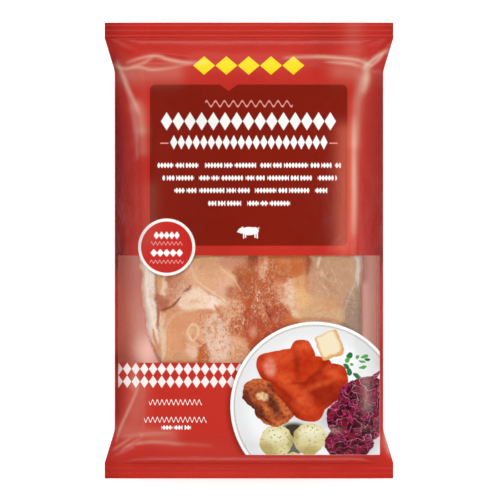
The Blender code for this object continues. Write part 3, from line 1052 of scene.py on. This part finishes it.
def window_film_material():
    """Unprinted film: clear, with a glossy skin and a faint milky haze where it is slack."""
    material, tree, surface = new_material("window_film")
    place = object_place(tree)
    pack_print = use_group(tree, PACK_PRINT, place)
    printed, creased = film_shader(tree, with_painted_light(tree, pack_print["Colour"]), place)
    clear = tree.nodes.new("ShaderNodeBsdfTransparent")
    gloss = tree.nodes.new("ShaderNodeBsdfGlossy")
    set_inputs(tree, gloss, Roughness=CLEAR_ROUGHNESS, Normal=creased)
    slant = tree.nodes.new("ShaderNodeLayerWeight")
    slant.inputs["Blend"].default_value = 0.5
    glancing = calc(tree, "POWER", slant.outputs["Facing"], 5.0)
    mirror = calc(tree, "MULTIPLY_ADD", glancing, 1 - FILM_MIRROR, FILM_MIRROR)
    side = tree.nodes.new("ShaderNodeNewGeometry")
    outside = calc(tree, "SUBTRACT", 1.0, side.outputs["Backfacing"])
    skin = mix_shaders(tree, times(tree, mirror, outside), clear.outputs[0], gloss.outputs[0])
    slack = painted_light_and_haze(tree)[2]
    haze = tree.nodes.new("ShaderNodeBsdfDiffuse")
    feed(tree, haze.inputs["Color"],
         layer(tree, SLACK_PINK, SLACK_PALE, ramp(tree, slack, 0.1, 0.6)))
    amount = times(tree, calc(tree, "ADD", slack, CLEAR_HAZE), outside)
    hazy = mix_shaders(tree, amount, skin, haze.outputs[0])
    feed(tree, surface, mix_shaders(tree, pack_print["Ink"], hazy, printed))
    return material


def back_film_material():
    """Plain red film, as on the back and the fin seal."""
    material, tree, surface = new_material("back_film")
    place = object_place(tree)
    feed(tree, surface, film_shader(tree, red_ground(tree, place, BACK_CLOUD), place)[0])
    return material


def film_inside_material():
    """The unprinted side of the film: the red shows through a milky sealing layer."""
    material, tree, surface = new_material("film_inside")
    place = object_place(tree)
    colour = layer(tree, MILKY_RED, MILKY_CLOUD, specks(tree, place, *MILKY_CLOUDS))
    feed(tree, surface, film_shader(tree, colour, place)[0])
    return material


printed_film = printed_film_material()
window_film = window_film_material()
back_film = back_film_material()
film_inside = film_inside_material()

points, faces, kinds = film_skin()
film = make_object("printed_film", points, faces,
                   (printed_film, window_film, back_film, film_inside, window_film, film_inside),
                   kinds)
across, along = points[:, 0], points[:, 1]
# Per point: painted shade, painted highlight, slack haze and painted red sheen of the film.
film_tint = film.data.color_attributes.new("painted_light_and_haze", "FLOAT_COLOR", "POINT")
film_tint.data.foreach_set("color", np.column_stack([
    tones(across, along, PAINTED_SHADE_TONES), tones(across, along, PAINTED_HIGHLIGHT_TONES),
    tones(across, along, HAZE) * beside_knuckle(across, along),
    tones(across, along, PAINTED_SHEEN_TONES)]).ravel())
thickness = film.modifiers.new("film_thickness", "SOLIDIFY")
thickness.thickness = FILM_THICKNESS * MM
thickness.offset = -1.0
thickness.material_offset = PRINTED_INSIDE
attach(film, "root")
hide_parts("film_pack")

# ---------------------------------------------------------------------------------------------
# The knuckle: raw pork on the bone, about 125 mm across, pressed against the film. Smooth lobes
# in their pale skin and fat stand round wet orange-red lean, with a thick rim of fat at the left.

KNUCKLE_TOP_GAP = 0.4
KNUCKLE_FLOOR = 1.2
EDGE_DROP = 5.0
MEAT_STEP = 0.5
EDGE_POWER = 44
MEAT_LOW, MEAT_HIGH = -96.0, 92.0
LENGTH_SHARE, MEAT_CROWDING, LENGTH_POWER = 0.999, 0.12, 9
SUNK, LEAST_GAP = 0.9, 0.1
WINDOW_MARGIN = 3
ROWS_BELOW, ROWS_ABOVE = 24, 56
# Rings down the sides: share of the way in, share of the way down.
SIDE_RINGS = ((0.004, 0.25), (0.02, 0.5), (0.07, 0.75), (0.16, 0.93), (0.3, 1.0), (0.65, 1.0))

FAT, RIM, GREY_FRINGE = (232, 221, 208), (228, 206, 180), (212, 202, 188)
CREAM, WHITE_FAT, PEACH = (243, 220, 196), (247, 228, 212), (236, 204, 184)
SKIN, SKIN_PINK, SKIN_GOLD = (222, 170, 134), (227, 180, 160), (208, 156, 112)
TAN, AMBER, SINEW = (210, 158, 116), (217, 154, 112), (222, 196, 176)
# The pink below is a painted highlight.
MAUVE, HIGHLIGHT_PINK, BROWN = (202, 140, 110), (226, 184, 166), (180, 106, 74)
OCHRE, LEAN, WET_RED = (194, 104, 50), (190, 92, 47), (180, 72, 34)
RUST, DEEP, SHADED = (176, 88, 44), (150, 66, 32), (156, 130, 112)
LOBE_TAN, LOBE_ROSE, SAND = (187, 147, 113), (196, 150, 120), (208, 172, 134)
# The blush below is a painted highlight band.
HONEY, STRAW, HIGHLIGHT_BLUSH = (230, 184, 124), (216, 178, 138), (238, 210, 186)
BUTTER, GINGER, SALMON = (236, 198, 154), (216, 158, 106), (226, 168, 132)
# How softly the fields blend.
SOFTENING, FIELD_FALL = 0.85, -2.4

# Fields of the meat: colour, crispness of the edge, x, y, radius across, radius along, turn.
# Their colours include painted shade of the lobes and creases, and painted highlights: a pink
# patch on the mauve part and a pale band right of the middle.
FIELDS = (
    (FAT, 4, -55.5, -12, 3.8, 19, 0), (FAT, 4, -54, -36, 3, 12, 0.12),
    (RIM, 4, -58.8, -15, 1.6, 14, 0), (TAN, 4, -49.8, -18.2, 1.8, 4.4, 0),
    (RIM, 2, -47.4, -20.5, 1.3, 6, 0), (MAUVE, 3, -40.5, -19.5, 6.8, 8, 0),
    (BROWN, 3, -44.6, -18, 1.6, 5, 0.2), (HIGHLIGHT_PINK, 3, -38.5, -22, 3.8, 3.8, -0.5),
    (BROWN, 4, -48, -30, 3.4, 4.2, 0), (BROWN, 3, -51.2, -36, 1.3, 9, 0),
    (CREAM, 5, -31, -26.4, 8.6, 6.4, 0.1), (WHITE_FAT, 4, -21.6, -28, 4.6, 4, -0.3),
    (CREAM, 4, -16.3, -28.4, 4.4, 2, -0.2), (AMBER, 3, -30.6, -28.6, 3, 1, 0),
    (SKIN, 3, -20.5, -14.5, 13, 11, -0.55), (SKIN_PINK, 3, -14.6, -19, 4.8, 6, -0.5),
    (SKIN_GOLD, 3, -24, -7, 9, 5, 0), (TAN, 2, -22.5, -12.5, 4.5, 2.6, -0.4),
    (SKIN, 3, -31.5, -14, 5.5, 8, -0.2), (MAUVE, 2, -8, -6.5, 9, 5, -0.2),
    (RUST, 3, -2.5, -13, 5.8, 7, 0.2), (DEEP, 3, 1.6, -5.6, 2.6, 5, 0),
    (RUST, 3, -0.5, -19, 5, 3, -0.4), (BROWN, 3, -10.3, -22.6, 3.4, 3.2, 0),
    (LEAN, 2, 3.5, -24, 9, 8, 0), (AMBER, 3, -41, -46, 7.6, 13, 0),
    (AMBER, 2, -35.5, -38, 8, 3.2, 0), (TAN, 3, -40, -60.5, 9, 5, 0),
    (SKIN, 3, -31, -47, 5.5, 10, 0), (RIM, 4, -48.4, -50, 1.6, 12.5, 0.08),
    (PEACH, 4, -22.5, -44, 3.6, 4.8, 0), (PEACH, 4, -17.8, -39.6, 4.2, 2.8, -0.7),
    (SKIN, 2, -9.5, -33, 6, 6, 0), (WET_RED, 3, -2, -42.5, 6.5, 8.5, 0.2),
    (SKIN_PINK, 4, 2.6, -45.6, 2.9, 4.8, -0.2), (PEACH, 3, -32.5, -55.5, 3.8, 4.2, 0),
    (OCHRE, 3, -25.5, -57.5, 2.8, 5, 0.1), (PEACH, 2, -17, -55.5, 5, 7, 0.2),
    (SKIN, 2, -6, -55, 5.5, 6.5, 0), (SKIN, 4, 8.8, -10, 2.2, 6, -0.2),
    (OCHRE, 3, 20.5, -8, 10.5, 5.8, 0), (AMBER, 2, 20, -7.5, 3.6, 3.2, 0),
    (LEAN, 3, 14, -15.5, 6.5, 4.5, 0), (SINEW, 3, 38.7, -6.5, 1.2, 3, -0.3),
    (SINEW, 3, 41.2, -12.2, 1.3, 2, 0.4), (LOBE_TAN, 3, 49, -15, 11.5, 16, 0),
    (LOBE_ROSE, 2, 37, -18, 5, 9, 0), (SKIN_GOLD, 2, 42, -29.5, 8, 6, 0),
    (SAND, 2, 41, -36, 12, 4, 0), (HONEY, 1.3, 31, -27, 4.6, 7.5, 0.1),
    (STRAW, 1.5, 37.5, -31, 6, 6, 0), (HIGHLIGHT_BLUSH, 1.3, 23, -25.5, 3.3, 9.5, 0.2),
    (BUTTER, 1.4, 27, -26, 2.2, 8, 0.15), (GINGER, 1.6, 29.5, -18.5, 6, 4, 0),
    (SALMON, 2, 16.8, -20.5, 2.4, 7.2, 0.2), (WET_RED, 3, 7.5, -38.5, 7.5, 8, 0),
    (LEAN, 3, 14.5, -28.5, 4.5, 7, 0), (WET_RED, 3, 17.5, -36.5, 5, 5.5, 0),
    (SKIN, 4, 8.4, -36, 2.2, 4.2, 0.5), (OCHRE, 2, 21.5, -39.5, 6, 2.6, 0),
    (WET_RED, 3, 8, -50, 9, 8, 0), (OCHRE, 2, -5, -43, 4, 6, 0), (SHADED, 1.5, 58, -32, 4, 12, 0),
    (GREY_FRINGE, 2, 61.2, -7, 1.8, 11, 0),
)

# Lobes that stand up and hollows between them: rise, x, y, radius across, radius along.
LOBES = (
    (1.5, -20.5, -14, 13, 11), (1.6, -37, -48.5, 12, 13.5), (1.4, 45, -20, 15, 19),
    (0.7, -29, -27, 10, 6), (0.6, -55.5, -16, 4, 20), (0.6, 27, -24, 6, 10),
    (0.5, -19, -41, 6, 6), (0.6, 2.6, -45.6, 3.5, 5.5), (-0.8, 1, -12, 8, 10),
    (-0.6, -46, -28, 6, 6), (-0.6, 8, -32, 9, 10), (-0.4, -9, -24, 5, 4),
)

# Creases, seams and pale edges: width, depth (a ridge below zero), strength, colour, points.
# Dark colours in the creases are painted shade; the pale ones on ridges are partly fat and partly
# painted highlights.
SEAMS = (
    (0.6, 0.8, 0.7, (168, 108, 84), (-51.9, -3), (-51.9, -16), (-51.7, -27.8), (-51.3, -41)),
    (0.55, 1.2, 0.9, (124, 58, 40), (-38.2, -26), (-40.8, -29.8), (-45.9, -32.5), (-49, -34)),
    (0.7, 1, 0.9, (146, 80, 64), (-32.8, -19.9), (-34.2, -21.6), (-36.6, -23.4)),
    (0.5, -0.3, 0.8, (240, 208, 176), (-29.8, -16.6), (-21.9, -22.4), (-12.6, -28.5)),
    (0.4, 0.4, 0.7, (206, 146, 112), (-28.6, -19.8), (-21, -24.6), (-12.9, -29.6)),
    (0.5, -0.2, 0.6, (236, 200, 170), (-33.5, -6), (-32, -12), (-28.5, -17)),
    (0.5, -0.3, 0.8, (234, 196, 158), (-15.6, -9), (-11.4, -13.5), (-7.6, -17), (-4, -22)),
    (0.7, 0.8, 0.7, (158, 76, 46), (-9.8, -11.7), (-5.2, -16.3), (-1, -21.6), (0.8, -26)),
    (0.8, 0.8, 0.6, (194, 92, 54), (-19.8, -31.2), (-17.2, -34), (-13.8, -40)),
    (1.4, 1.2, 0.8, (150, 70, 42), (32.8, 0), (32.7, -8.1), (32.2, -13.5)),
    (1.2, 0.3, 0.35, (200, 128, 92), (32.2, -13), (32.4, -18), (33.2, -24)),
    (0.9, 1.2, 0.95, (158, 48, 24), (8.6, -30.4), (10.4, -33), (12, -37.5)),
    (0.8, 1, 0.8, (184, 74, 48), (16.2, -31.5), (16.8, -35), (17, -41)),
    (0.9, 0.3, 0.4, (214, 146, 98), (-44, -33.4), (-36, -33.2), (-28, -33.8), (-21.5, -34)),
    (1.2, -0.2, 0.6, (222, 188, 160), (-47.5, -57), (-47.2, -46), (-43.6, -38), (-37, -34),
     (-29, -33.4)),
    (1, -0.3, 0.8, (224, 196, 168), (-46.8, -35.5), (-49, -44.6), (-49.2, -53), (-47.6, -63)),
    (0.6, 0.5, 0.8, (212, 138, 92), (-20.4, -38.5), (-18.6, -43), (-18.6, -49.5)),
    (0.7, -0.3, 0.9, (240, 212, 180), (-32.5, -41), (-34, -46), (-31.5, -50.5), (-28.4, -47.5),
     (-28.8, -42.5), (-32.5, -41)),
    (0.6, 0.3, 0.7, (210, 150, 100), (-30.8, -43.2), (-30.6, -46.4), (-30.9, -49)),
    (0.5, -0.2, 0.7, (238, 208, 184), (-36.4, -51.5), (-31, -54), (-26.5, -53), (-23.5, -50)),
    (0.6, 0.6, 0.7, (196, 84, 54), (3.4, -3), (4.2, -8), (5.6, -14)),
    (0.6, 0.5, 0.7, (178, 70, 46), (15, -14.2), (19, -14.6), (24, -14.4)),
    (0.8, 0.3, 0.6, (200, 122, 90), (20, -39.6), (32, -38.4), (46, -38.6), (54, -41.5)),
    (0.9, -0.2, 0.7, (224, 216, 206), (60.6, -1), (61, -9), (61.2, -20)),
    (0.5, -0.2, 0.45, (214, 194, 176), (53, -35), (55.5, -28), (59, -19), (60.6, -12)),
    (0.4, -0.2, 0.3, (214, 190, 170), (40.6, -16.5), (43.2, -22), (44.4, -27)),
    (0.3, -0.2, 0.4, (220, 196, 176), (46, -9.5), (48, -14), (48.6, -19)),
    (0.3, -0.1, 0.4, (220, 196, 176), (40, -9), (43, -14), (46, -17.5), (47, -24)),
    (0.3, -0.1, 0.4, (220, 196, 176), (50.5, -13), (48, -17), (44, -19)),
    (0.3, -0.1, 0.4, (224, 200, 180), (37, -12), (39.5, -18), (43, -21)),
    (0.5, -0.1, 0.6, (250, 238, 226), (-58, -6), (-57, -20), (-55.2, -34), (-51.5, -50)),
    (0.3, 0.2, 0.4, (214, 190, 168), (-55.4, -4), (-55.2, -20), (-54, -34)),
    (0.8, 0.2, 0.9, (212, 128, 84), (-54, -44), (-53.2, -49), (-51.6, -54)),
    (0.4, -0.1, 0.5, (228, 190, 156), (-45.5, -40), (-47, -48), (-46.6, -58)),
    (0.3, -0.1, 0.4, (230, 190, 154), (-43.5, -41), (-44.8, -48), (-44.6, -58)),
)

# Where the surface is wet and ragged: strength, x, y, radius across, radius along.
RAGGED = (
    (1, -20, -46, 14, 14), (1, -8, -36, 9, 12), (1, 10, -27, 13, 14),
    (0.9, 8, -10, 4, 8), (0.9, -14, -57, 18, 7), (0.8, 21, -25, 8.5, 11),
    (0.35, 42, -16, 9, 12), (0.5, 58, -28, 4, 15), (0.5, -39, -21, 8, 8),
    (0.25, -22, -16, 14, 11), (0.4, -27, -27, 12, 6), (0.3, -54, -22, 5, 20),
    (0.6, 16, -10, 12, 6),
)
LEAST_RAGGED = 0.22
# Hills of the ragged places: height, size, seed. Wandering of the edges of fields: size, amount.
RAGGED_HILLS = ((0.7, 2.6, 31), (0.4, 1.2, 32))
WANDERINGS = ((7.0, 2.4), (2.8, 1.3), (1.3, 0.7))
FIELD_SEED, RAGGED_SEED = 11, 41


def reach_into(x, y, middle_x, middle_y, radius_x, radius_y, turn=0.0):
    """0 in the middle of an oval, 1 on its edge."""
    across, along = x - middle_x, y - middle_y
    turned_x = across * math.cos(turn) + along * math.sin(turn)
    turned_y = along * math.cos(turn) - across * math.sin(turn)
    return np.hypot(turned_x / radius_x, turned_y / radius_y)


def warped(x, y, seed):
    """Places shifted a little at random, so that the edges of fields wander."""
    for size, amount in WANDERINGS:
        x, y = (x + amount * (hills(x, y, size, seed) - 0.5),
                y + amount * (hills(x, y, size, seed + 1) - 0.5))
        seed += 2
    return x, y


def meat_colour(x, y):
    """Screen colour of the meat: soft fields that blend where they meet, then the seams."""
    near_x, near_y = warped(x, y, FIELD_SEED)
    total = np.full(x.shape, 1e-7)
    colour = total[..., None] * np.array(SKIN)
    for tint, crispness, *spot in FIELDS:
        weight = np.exp(FIELD_FALL * reach_into(near_x, near_y, *spot) ** (SOFTENING * crispness))
        total = total + weight
        colour = colour + weight[..., None] * np.array(tint)
    colour = colour / total[..., None]
    half_x, half_y = (x + near_x) / 2, (y + near_y) / 2
    # Seams paint shade into the creases, and pale lines along ridges that are partly painted
    # highlights.
    for width, _, strength, tint, *route in SEAMS:
        away, progress = beside(half_x, half_y, route)
        mask = strength * hump(away, width * (0.5 + 0.6 * swell(progress, 0.0)))
        colour = colour + mask[..., None] * (np.array(tint) - colour)
    return colour


def meat_relief(x, y):
    """Rise of the meat's surface from its lobes, seams and small unevenness, in mm."""
    near_x, near_y = warped(x, y, FIELD_SEED)
    rise = np.zeros(x.shape)
    for lift, *spot in LOBES:
        rise = rise + lift * np.exp(-reach_into(near_x, near_y, *spot) ** 3)
    half_x, half_y = (x + near_x) / 2, (y + near_y) / 2
    for width, depth, _, _, *route in SEAMS:
        away, progress = beside(half_x, half_y, route)
        rise = rise - depth * hump(away, 1.3 * width) * swell(progress, 0.1)
    ragged = raggedness(x, y)
    for height, size, seed in RAGGED_HILLS:
        rise = rise + ragged * height * (hills(x, y, size, seed) - 0.5)
    return rise


def raggedness(x, y):
    """How wet and ragged the surface is, from 0 to 1."""
    near_x, near_y = warped(x, y, RAGGED_SEED)
    ragged = np.full(x.shape, LEAST_RAGGED)
    for strength, *spot in RAGGED:
        ragged = np.maximum(ragged, strength * np.exp(-reach_into(near_x, near_y, *spot) ** 4))
    return ragged


def knuckle_top():
    """The top as a grid of points, fine under the window and coarser under the print."""
    low, high = WINDOW_BOTTOM - WINDOW_MARGIN, WINDOW_TOP + WINDOW_MARGIN
    rows = np.concatenate([
        np.linspace(MEAT_LOW, low, ROWS_BELOW)[:-1],
        np.linspace(low, high, round((high - low) / MEAT_STEP)),
        np.linspace(high, MEAT_HIGH, ROWS_ABOVE)[1:]])
    span = KNUCKLE_HALF_LENGTH * LENGTH_SHARE
    rows = np.clip(rows, KNUCKLE_MIDDLE_Y - span, KNUCKLE_MIDDLE_Y + span)
    columns = crowded(round((RIGHT_SIDE - LEFT_SIDE) / MEAT_STEP), MEAT_CROWDING)
    y = np.repeat(rows[:, None], len(columns), axis=1)
    left, right = knuckle_sides(y)
    x = (left + right) / 2 + columns[None, :] * (right - left) / 2
    along = np.clip(np.abs(y - KNUCKLE_MIDDLE_Y) / KNUCKLE_HALF_LENGTH, 0, 1)
    round_sides = (1 - np.abs(columns[None, :]) ** EDGE_POWER) ** 0.5
    round_off = round_sides * (1 - along ** LENGTH_POWER) ** 0.5
    under_film = SEAL_PLANE + front_height(x, y) - KNUCKLE_TOP_GAP
    top = under_film - EDGE_DROP * (1 - round_off)
    top = np.minimum(top + (meat_relief(x, y) - SUNK) * round_off, under_film - LEAST_GAP)
    return np.stack([x, y, top], axis=-1)


def outline_of(count_rows, count_columns):
    """Indices of a grid's outer points, in order round it."""
    grid = np.arange(count_rows * count_columns).reshape(count_rows, count_columns)
    return np.concatenate([grid[0, :], grid[1:, -1], grid[-1, -2::-1], grid[-2:0:-1, 0]])


def build_knuckle(material):
    """The knuckle as one closed mesh: the top, rings down its sides and a flat underside."""
    top = knuckle_top()
    count_rows, count_columns = top.shape[:2]
    points = [top.reshape(-1, 3)]
    faces = list(sheet_faces(count_rows, count_columns))
    ring = outline_of(count_rows, count_columns)
    rim = points[0][ring]
    centre = rim.mean(axis=0)
    previous, total = ring, len(points[0])
    for inward, drop in SIDE_RINGS:
        lower = rim + (centre - rim) * inward
        lower[:, 2] = rim[:, 2] + (KNUCKLE_FLOOR - rim[:, 2]) * drop
        points.append(lower)
        ring = np.arange(len(rim)) + total
        total += len(rim)
        after, after_lower = np.roll(previous, -1), np.roll(ring, -1)
        faces += list(np.stack([previous, ring, after_lower, after], axis=-1))
        previous = ring
    faces.append(list(previous[::-1]))
    points = np.concatenate(points)
    knuckle = make_object("pork_knuckle", points, faces, (material,))
    screen = meat_colour(points[:, 0], points[:, 1]) / 255
    linear = np.where(screen <= 0.04045, screen / 12.92, ((screen + 0.055) / 1.055) ** 2.4)
    ragged = raggedness(points[:, 0], points[:, 1])
    tint = knuckle.data.color_attributes.new("meat_colour", "FLOAT_COLOR", "POINT")
    tint.data.foreach_set("color", np.column_stack([linear, ragged]).ravel())
    return knuckle


FIBRE_STRETCH = (1.2, 0.72, 1.0)
# Threads of fibre, whose pale colour is also a painted wet highlight: scale, width, shift.
COARSE_FIBRES_AND_SHEEN, FINE_FIBRES_AND_SHEEN, FINE_SHARE = (0.36, 0.042, 3.0), (0.75, 0.05, 17.0), 0.55
# Specks: a noise's scale and detail, the range that shows, what it maps to, then roughness and
# distortion.
PATCHES = (0.16, 2.0, 0.34, 0.56)
PITS = (0.6, 3.0, 0.52, 0.68, 0.0, 1.0, (0.6, 0.5))
FLECKS = (0.5, 3.0, 0.53, 0.66, 0.0, 1.0, (0.6, 0.5))
GLINTS = (0.8, 2.0, 0.6, 0.68, 0.0, 1.0, (0.5, 0.6))
GAPS = (1.0, 2.0, 0.34, 0.41, 1.0, 0.0, (0.5, 0.6))
CLOUDS = (0.11, 3.0, 0.45, 0.8, 0.0, 0.6, (0.55, 0.6))
# The finest grain: its noise, how it dulls the colour, its roughness and its share of the relief.
GRAIN, GRAIN_DULLING = (1.6, 3.0, 0.6), (0.45, 0.75, 0.0, 0.55)
GRAIN_ROUGHNESS = (0.3, 0.7, 0.26, 0.42)
GRAIN_SHARE, PIT_SHARE = 0.4, 0.6
FLECK_STRENGTH, FIBRE_SHEEN_STRENGTH, GLINT_STRENGTH, GAP_STRENGTH = 0.38, 0.62, 0.6, 0.4
PIT_BROWN, FLECK_TAN = paint(238, 156, 102), paint(244, 186, 132)
# The fibres' cream and the glints' white are painted wet highlights.
FIBRE_SHEEN_CREAM = paint(250, 208, 168)
GLINT_WHITE, GAP_RUST = paint(255, 238, 220), paint(206, 120, 80)
CLOUD_TAN, GRAIN_TAN = paint(240, 216, 194), paint(226, 204, 190)
MEAT_RELIEF, MEAT_RELIEF_DEPTH = 0.6, 0.0005
# Light that soaks into the meat: share, depth, and reach of red, green and blue.
SOAK_SHARE, SOAK_DEPTH, SOAK_REACH = 0.1, 0.001, (1.0, 0.45, 0.3)


def raw_pork_material():
    """Wet raw meat: painted fields, curling fibres with painted wet highlight, painted glints,
    dark pits, moist skin.
    """
    material, tree, surface = new_material("raw_pork")
    place = object_place(tree)
    tint = tree.nodes.new("ShaderNodeAttribute")
    tint.attribute_name = "meat_colour"
    colour, ragged = tint.outputs["Color"], tint.outputs["Alpha"]
    drawn = vector_calc(tree, "MULTIPLY", place, FIBRE_STRETCH)
    # Pale fibres: real threads in the relief, and painted wet highlights in the colour.
    fine = times(tree, threads(tree, drawn, *FINE_FIBRES_AND_SHEEN), FINE_SHARE)
    fibres = calc(tree, "MAXIMUM", threads(tree, drawn, *COARSE_FIBRES_AND_SHEEN), fine)
    patchy = specks(tree, place, *PATCHES)
    fibres = times(tree, fibres, ragged, patchy)
    pits = times(tree, specks(tree, place, *PITS), ragged)
    flecks = times(tree, specks(tree, drawn, *FLECKS), ragged, FLECK_STRENGTH)
    glints = times(tree, specks(tree, drawn, *GLINTS), ragged, patchy, GLINT_STRENGTH)
    gaps = times(tree, specks(tree, place, *GAPS), ragged, GAP_STRENGTH)
    grain = fractal(tree, place, *GRAIN)
    for over, share, blend in (
            (PIT_BROWN, pits, "MULTIPLY"), (FLECK_TAN, flecks, "MIX"),
            (FIBRE_SHEEN_CREAM, times(tree, fibres, FIBRE_SHEEN_STRENGTH), "MIX"),
            (GLINT_WHITE, glints, "MIX"),
            (GAP_RUST, gaps, "MULTIPLY"), (CLOUD_TAN, specks(tree, place, *CLOUDS), "MULTIPLY"),
            (GRAIN_TAN, ramp(tree, grain, *GRAIN_DULLING), "MULTIPLY")):
        colour = layer(tree, colour, over, share, blend)
    shader = tree.nodes.new("ShaderNodeBsdfPrincipled")
    set_inputs(tree, shader, Base_Color=colour, Roughness=ramp(tree, grain, *GRAIN_ROUGHNESS),
               Subsurface_Weight=SOAK_SHARE, Subsurface_Scale=SOAK_DEPTH,
               Subsurface_Radius=SOAK_REACH)
    height = calc(tree, "SUBTRACT", fibres, times(tree, pits, PIT_SHARE))
    height = calc(tree, "MULTIPLY_ADD", grain, GRAIN_SHARE, height)
    set_relief(tree, shader, height, MEAT_RELIEF, MEAT_RELIEF_DEPTH)
    feed(tree, surface, shader.outputs[0])
    return material


knuckle = build_knuckle(raw_pork_material())
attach(knuckle, "root")

# ---------------------------------------------------------------------------------------------
# The fin seal: where the film's two edges are welded together along the back, folded to one side
# and pressed flat. It runs the pack's whole length and is caught in both end seals.

FIN_LEFT, FIN_RIGHT = -4.4, 9.2
FIN_THICKNESS, FIN_GAP, FIN_COLUMNS = 0.22, 0.02, 9
FIN_RIB_PITCH, FIN_RIB_HEIGHT = 2.1, 0.04


def build_fin_seal(material):
    """A flat ribbed strip that follows the back film."""
    rows = film_rows()
    columns = np.linspace(0, 1, FIN_COLUMNS)
    y = np.repeat(rows[:, None], len(columns), axis=1)
    flare = half_width(y) / BODY_HALF_WIDTH
    x = (FIN_LEFT + columns[None, :] * (FIN_RIGHT - FIN_LEFT)) * flare
    crimp = FIN_RIB_HEIGHT * np.sin(2 * math.pi * y / FIN_RIB_PITCH)
    upper = back_z(x, y) - FIN_GAP
    lower = upper - FIN_THICKNESS + crimp
    count_rows, count_columns = x.shape
    first_lower = count_rows * count_columns
    faces = list(sheet_faces(count_rows, count_columns))
    faces += list(sheet_faces(count_rows, count_columns, first_lower, flip=True))
    ring = outline_of(count_rows, count_columns)
    after = np.roll(ring, -1)
    faces += list(np.stack([ring, ring + first_lower, after + first_lower, after], axis=-1))
    points = np.concatenate([np.stack([x, y, upper], axis=-1).reshape(-1, 3),
                             np.stack([x, y, lower], axis=-1).reshape(-1, 3)])
    return make_object("fin_seal", points, faces, (material,))


fin_seal = build_fin_seal(back_film)
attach(fin_seal, "root")

# ---------------------------------------------------------------------------------------------
# The studio: a pale floor, soft lamps and a camera that looks straight down on the pack.

FLOOR_SIZE = 4.0
FLOOR_GLOW = 0.40
FLOOR_GREY = (0.95, 0.95, 0.95, 1.0)
SKY_LOW, SKY_HIGH, SKY_BLEND = (0.15, 0.15, 0.15, 1.0), (0.03, 0.03, 0.03, 1.0), (0.45, 0.85)
CAMERA_HEIGHT = 6.0
VIEW_WIDTH = 0.28075
CAMERA_X, CAMERA_Y = 0.00056, 0.00031
SENSOR, CAMERA_REACH = 36.0, 50.0

# Lamps: name, place, width and length, power, then whether the film mirrors them.
LAMPS = (
    ("lamp_right", (1.6, 0, 1.5), (0.22, 2.2), 4, True),
    ("lamp_left", (-1.5, -0.9, 1.3), (0.5, 1), 2.5, True),
    ("lamp_top", (-0.2, 1.8, 1.65), (3, 1.2), 6, True),
    ("lamp_bottom", (0, -1.9, 1.7), (3, 1.2), 1.2, True),
    ("fill_top", (0, 1.8, 1.65), (3, 1.2), 38, False),
    ("fill_bottom", (0, -1.9, 1.7), (3, 1.2), 41, False),
    ("fill_right", (1.6, 0, 1.5), (1.2, 2.2), 15, False),
    ("fill_left", (-1.6, 0, 1.5), (1.2, 2.2), 16, False),
)


def pale_floor():
    """A pale matt floor that glows a little, so that it shows almost white."""
    half = FLOOR_SIZE / 2 / MM
    corners = [(-half, -half, 0), (half, -half, 0), (half, half, 0), (-half, half, 0)]
    material, tree, surface = new_material("pale_floor")
    shader = tree.nodes.new("ShaderNodeBsdfPrincipled")
    set_inputs(tree, shader, Base_Color=FLOOR_GREY, Roughness=0.9,
               Emission_Color=(1.0, 1.0, 1.0, 1.0), Emission_Strength=FLOOR_GLOW)
    feed(tree, surface, shader.outputs[0])
    return make_object("floor", corners, [(0, 1, 2, 3)], (material,))


def soft_lamp(name, place, size, power, mirrored):
    """An area lamp that faces the pack, and that the film mirrors or not."""
    data = bpy.data.lights.new(name, "AREA")
    data.shape = "RECTANGLE"
    data.size, data.size_y = size
    data.energy = power
    lamp = bpy.data.objects.new(name, data)
    lamp.location = place
    lamp.rotation_euler = (-lamp.location).to_track_quat("-Z", "Y").to_euler()
    lamp.visible_glossy = mirrored
    bpy.context.scene.collection.objects.link(lamp)


pale_floor()
for lamp in LAMPS:
    soft_lamp(*lamp)

world = bpy.data.worlds.new("studio")
world.use_nodes = True
sky = world.node_tree.nodes["Background"]
sky.inputs["Strength"].default_value = 1.0
where = world.node_tree.nodes.new("ShaderNodeTexCoord")
parts = world.node_tree.nodes.new("ShaderNodeSeparateXYZ")
feed(world.node_tree, parts.inputs[0], where.outputs["Generated"])
feed(world.node_tree, sky.inputs["Color"], layer(
    world.node_tree, SKY_LOW, SKY_HIGH, ramp(world.node_tree, parts.outputs[2], *SKY_BLEND)))
bpy.context.scene.world = world
bpy.context.scene.view_settings.view_transform = "Standard"

camera_data = bpy.data.cameras.new("camera")
camera_data.sensor_width = SENSOR
camera_data.lens = SENSOR * (CAMERA_HEIGHT - SEAL_PLANE * MM) / VIEW_WIDTH
camera_data.clip_end = CAMERA_REACH
camera = bpy.data.objects.new("camera", camera_data)
camera.location = (CAMERA_X, CAMERA_Y, CAMERA_HEIGHT)
bpy.context.scene.collection.objects.link(camera)
bpy.context.scene.camera = camera
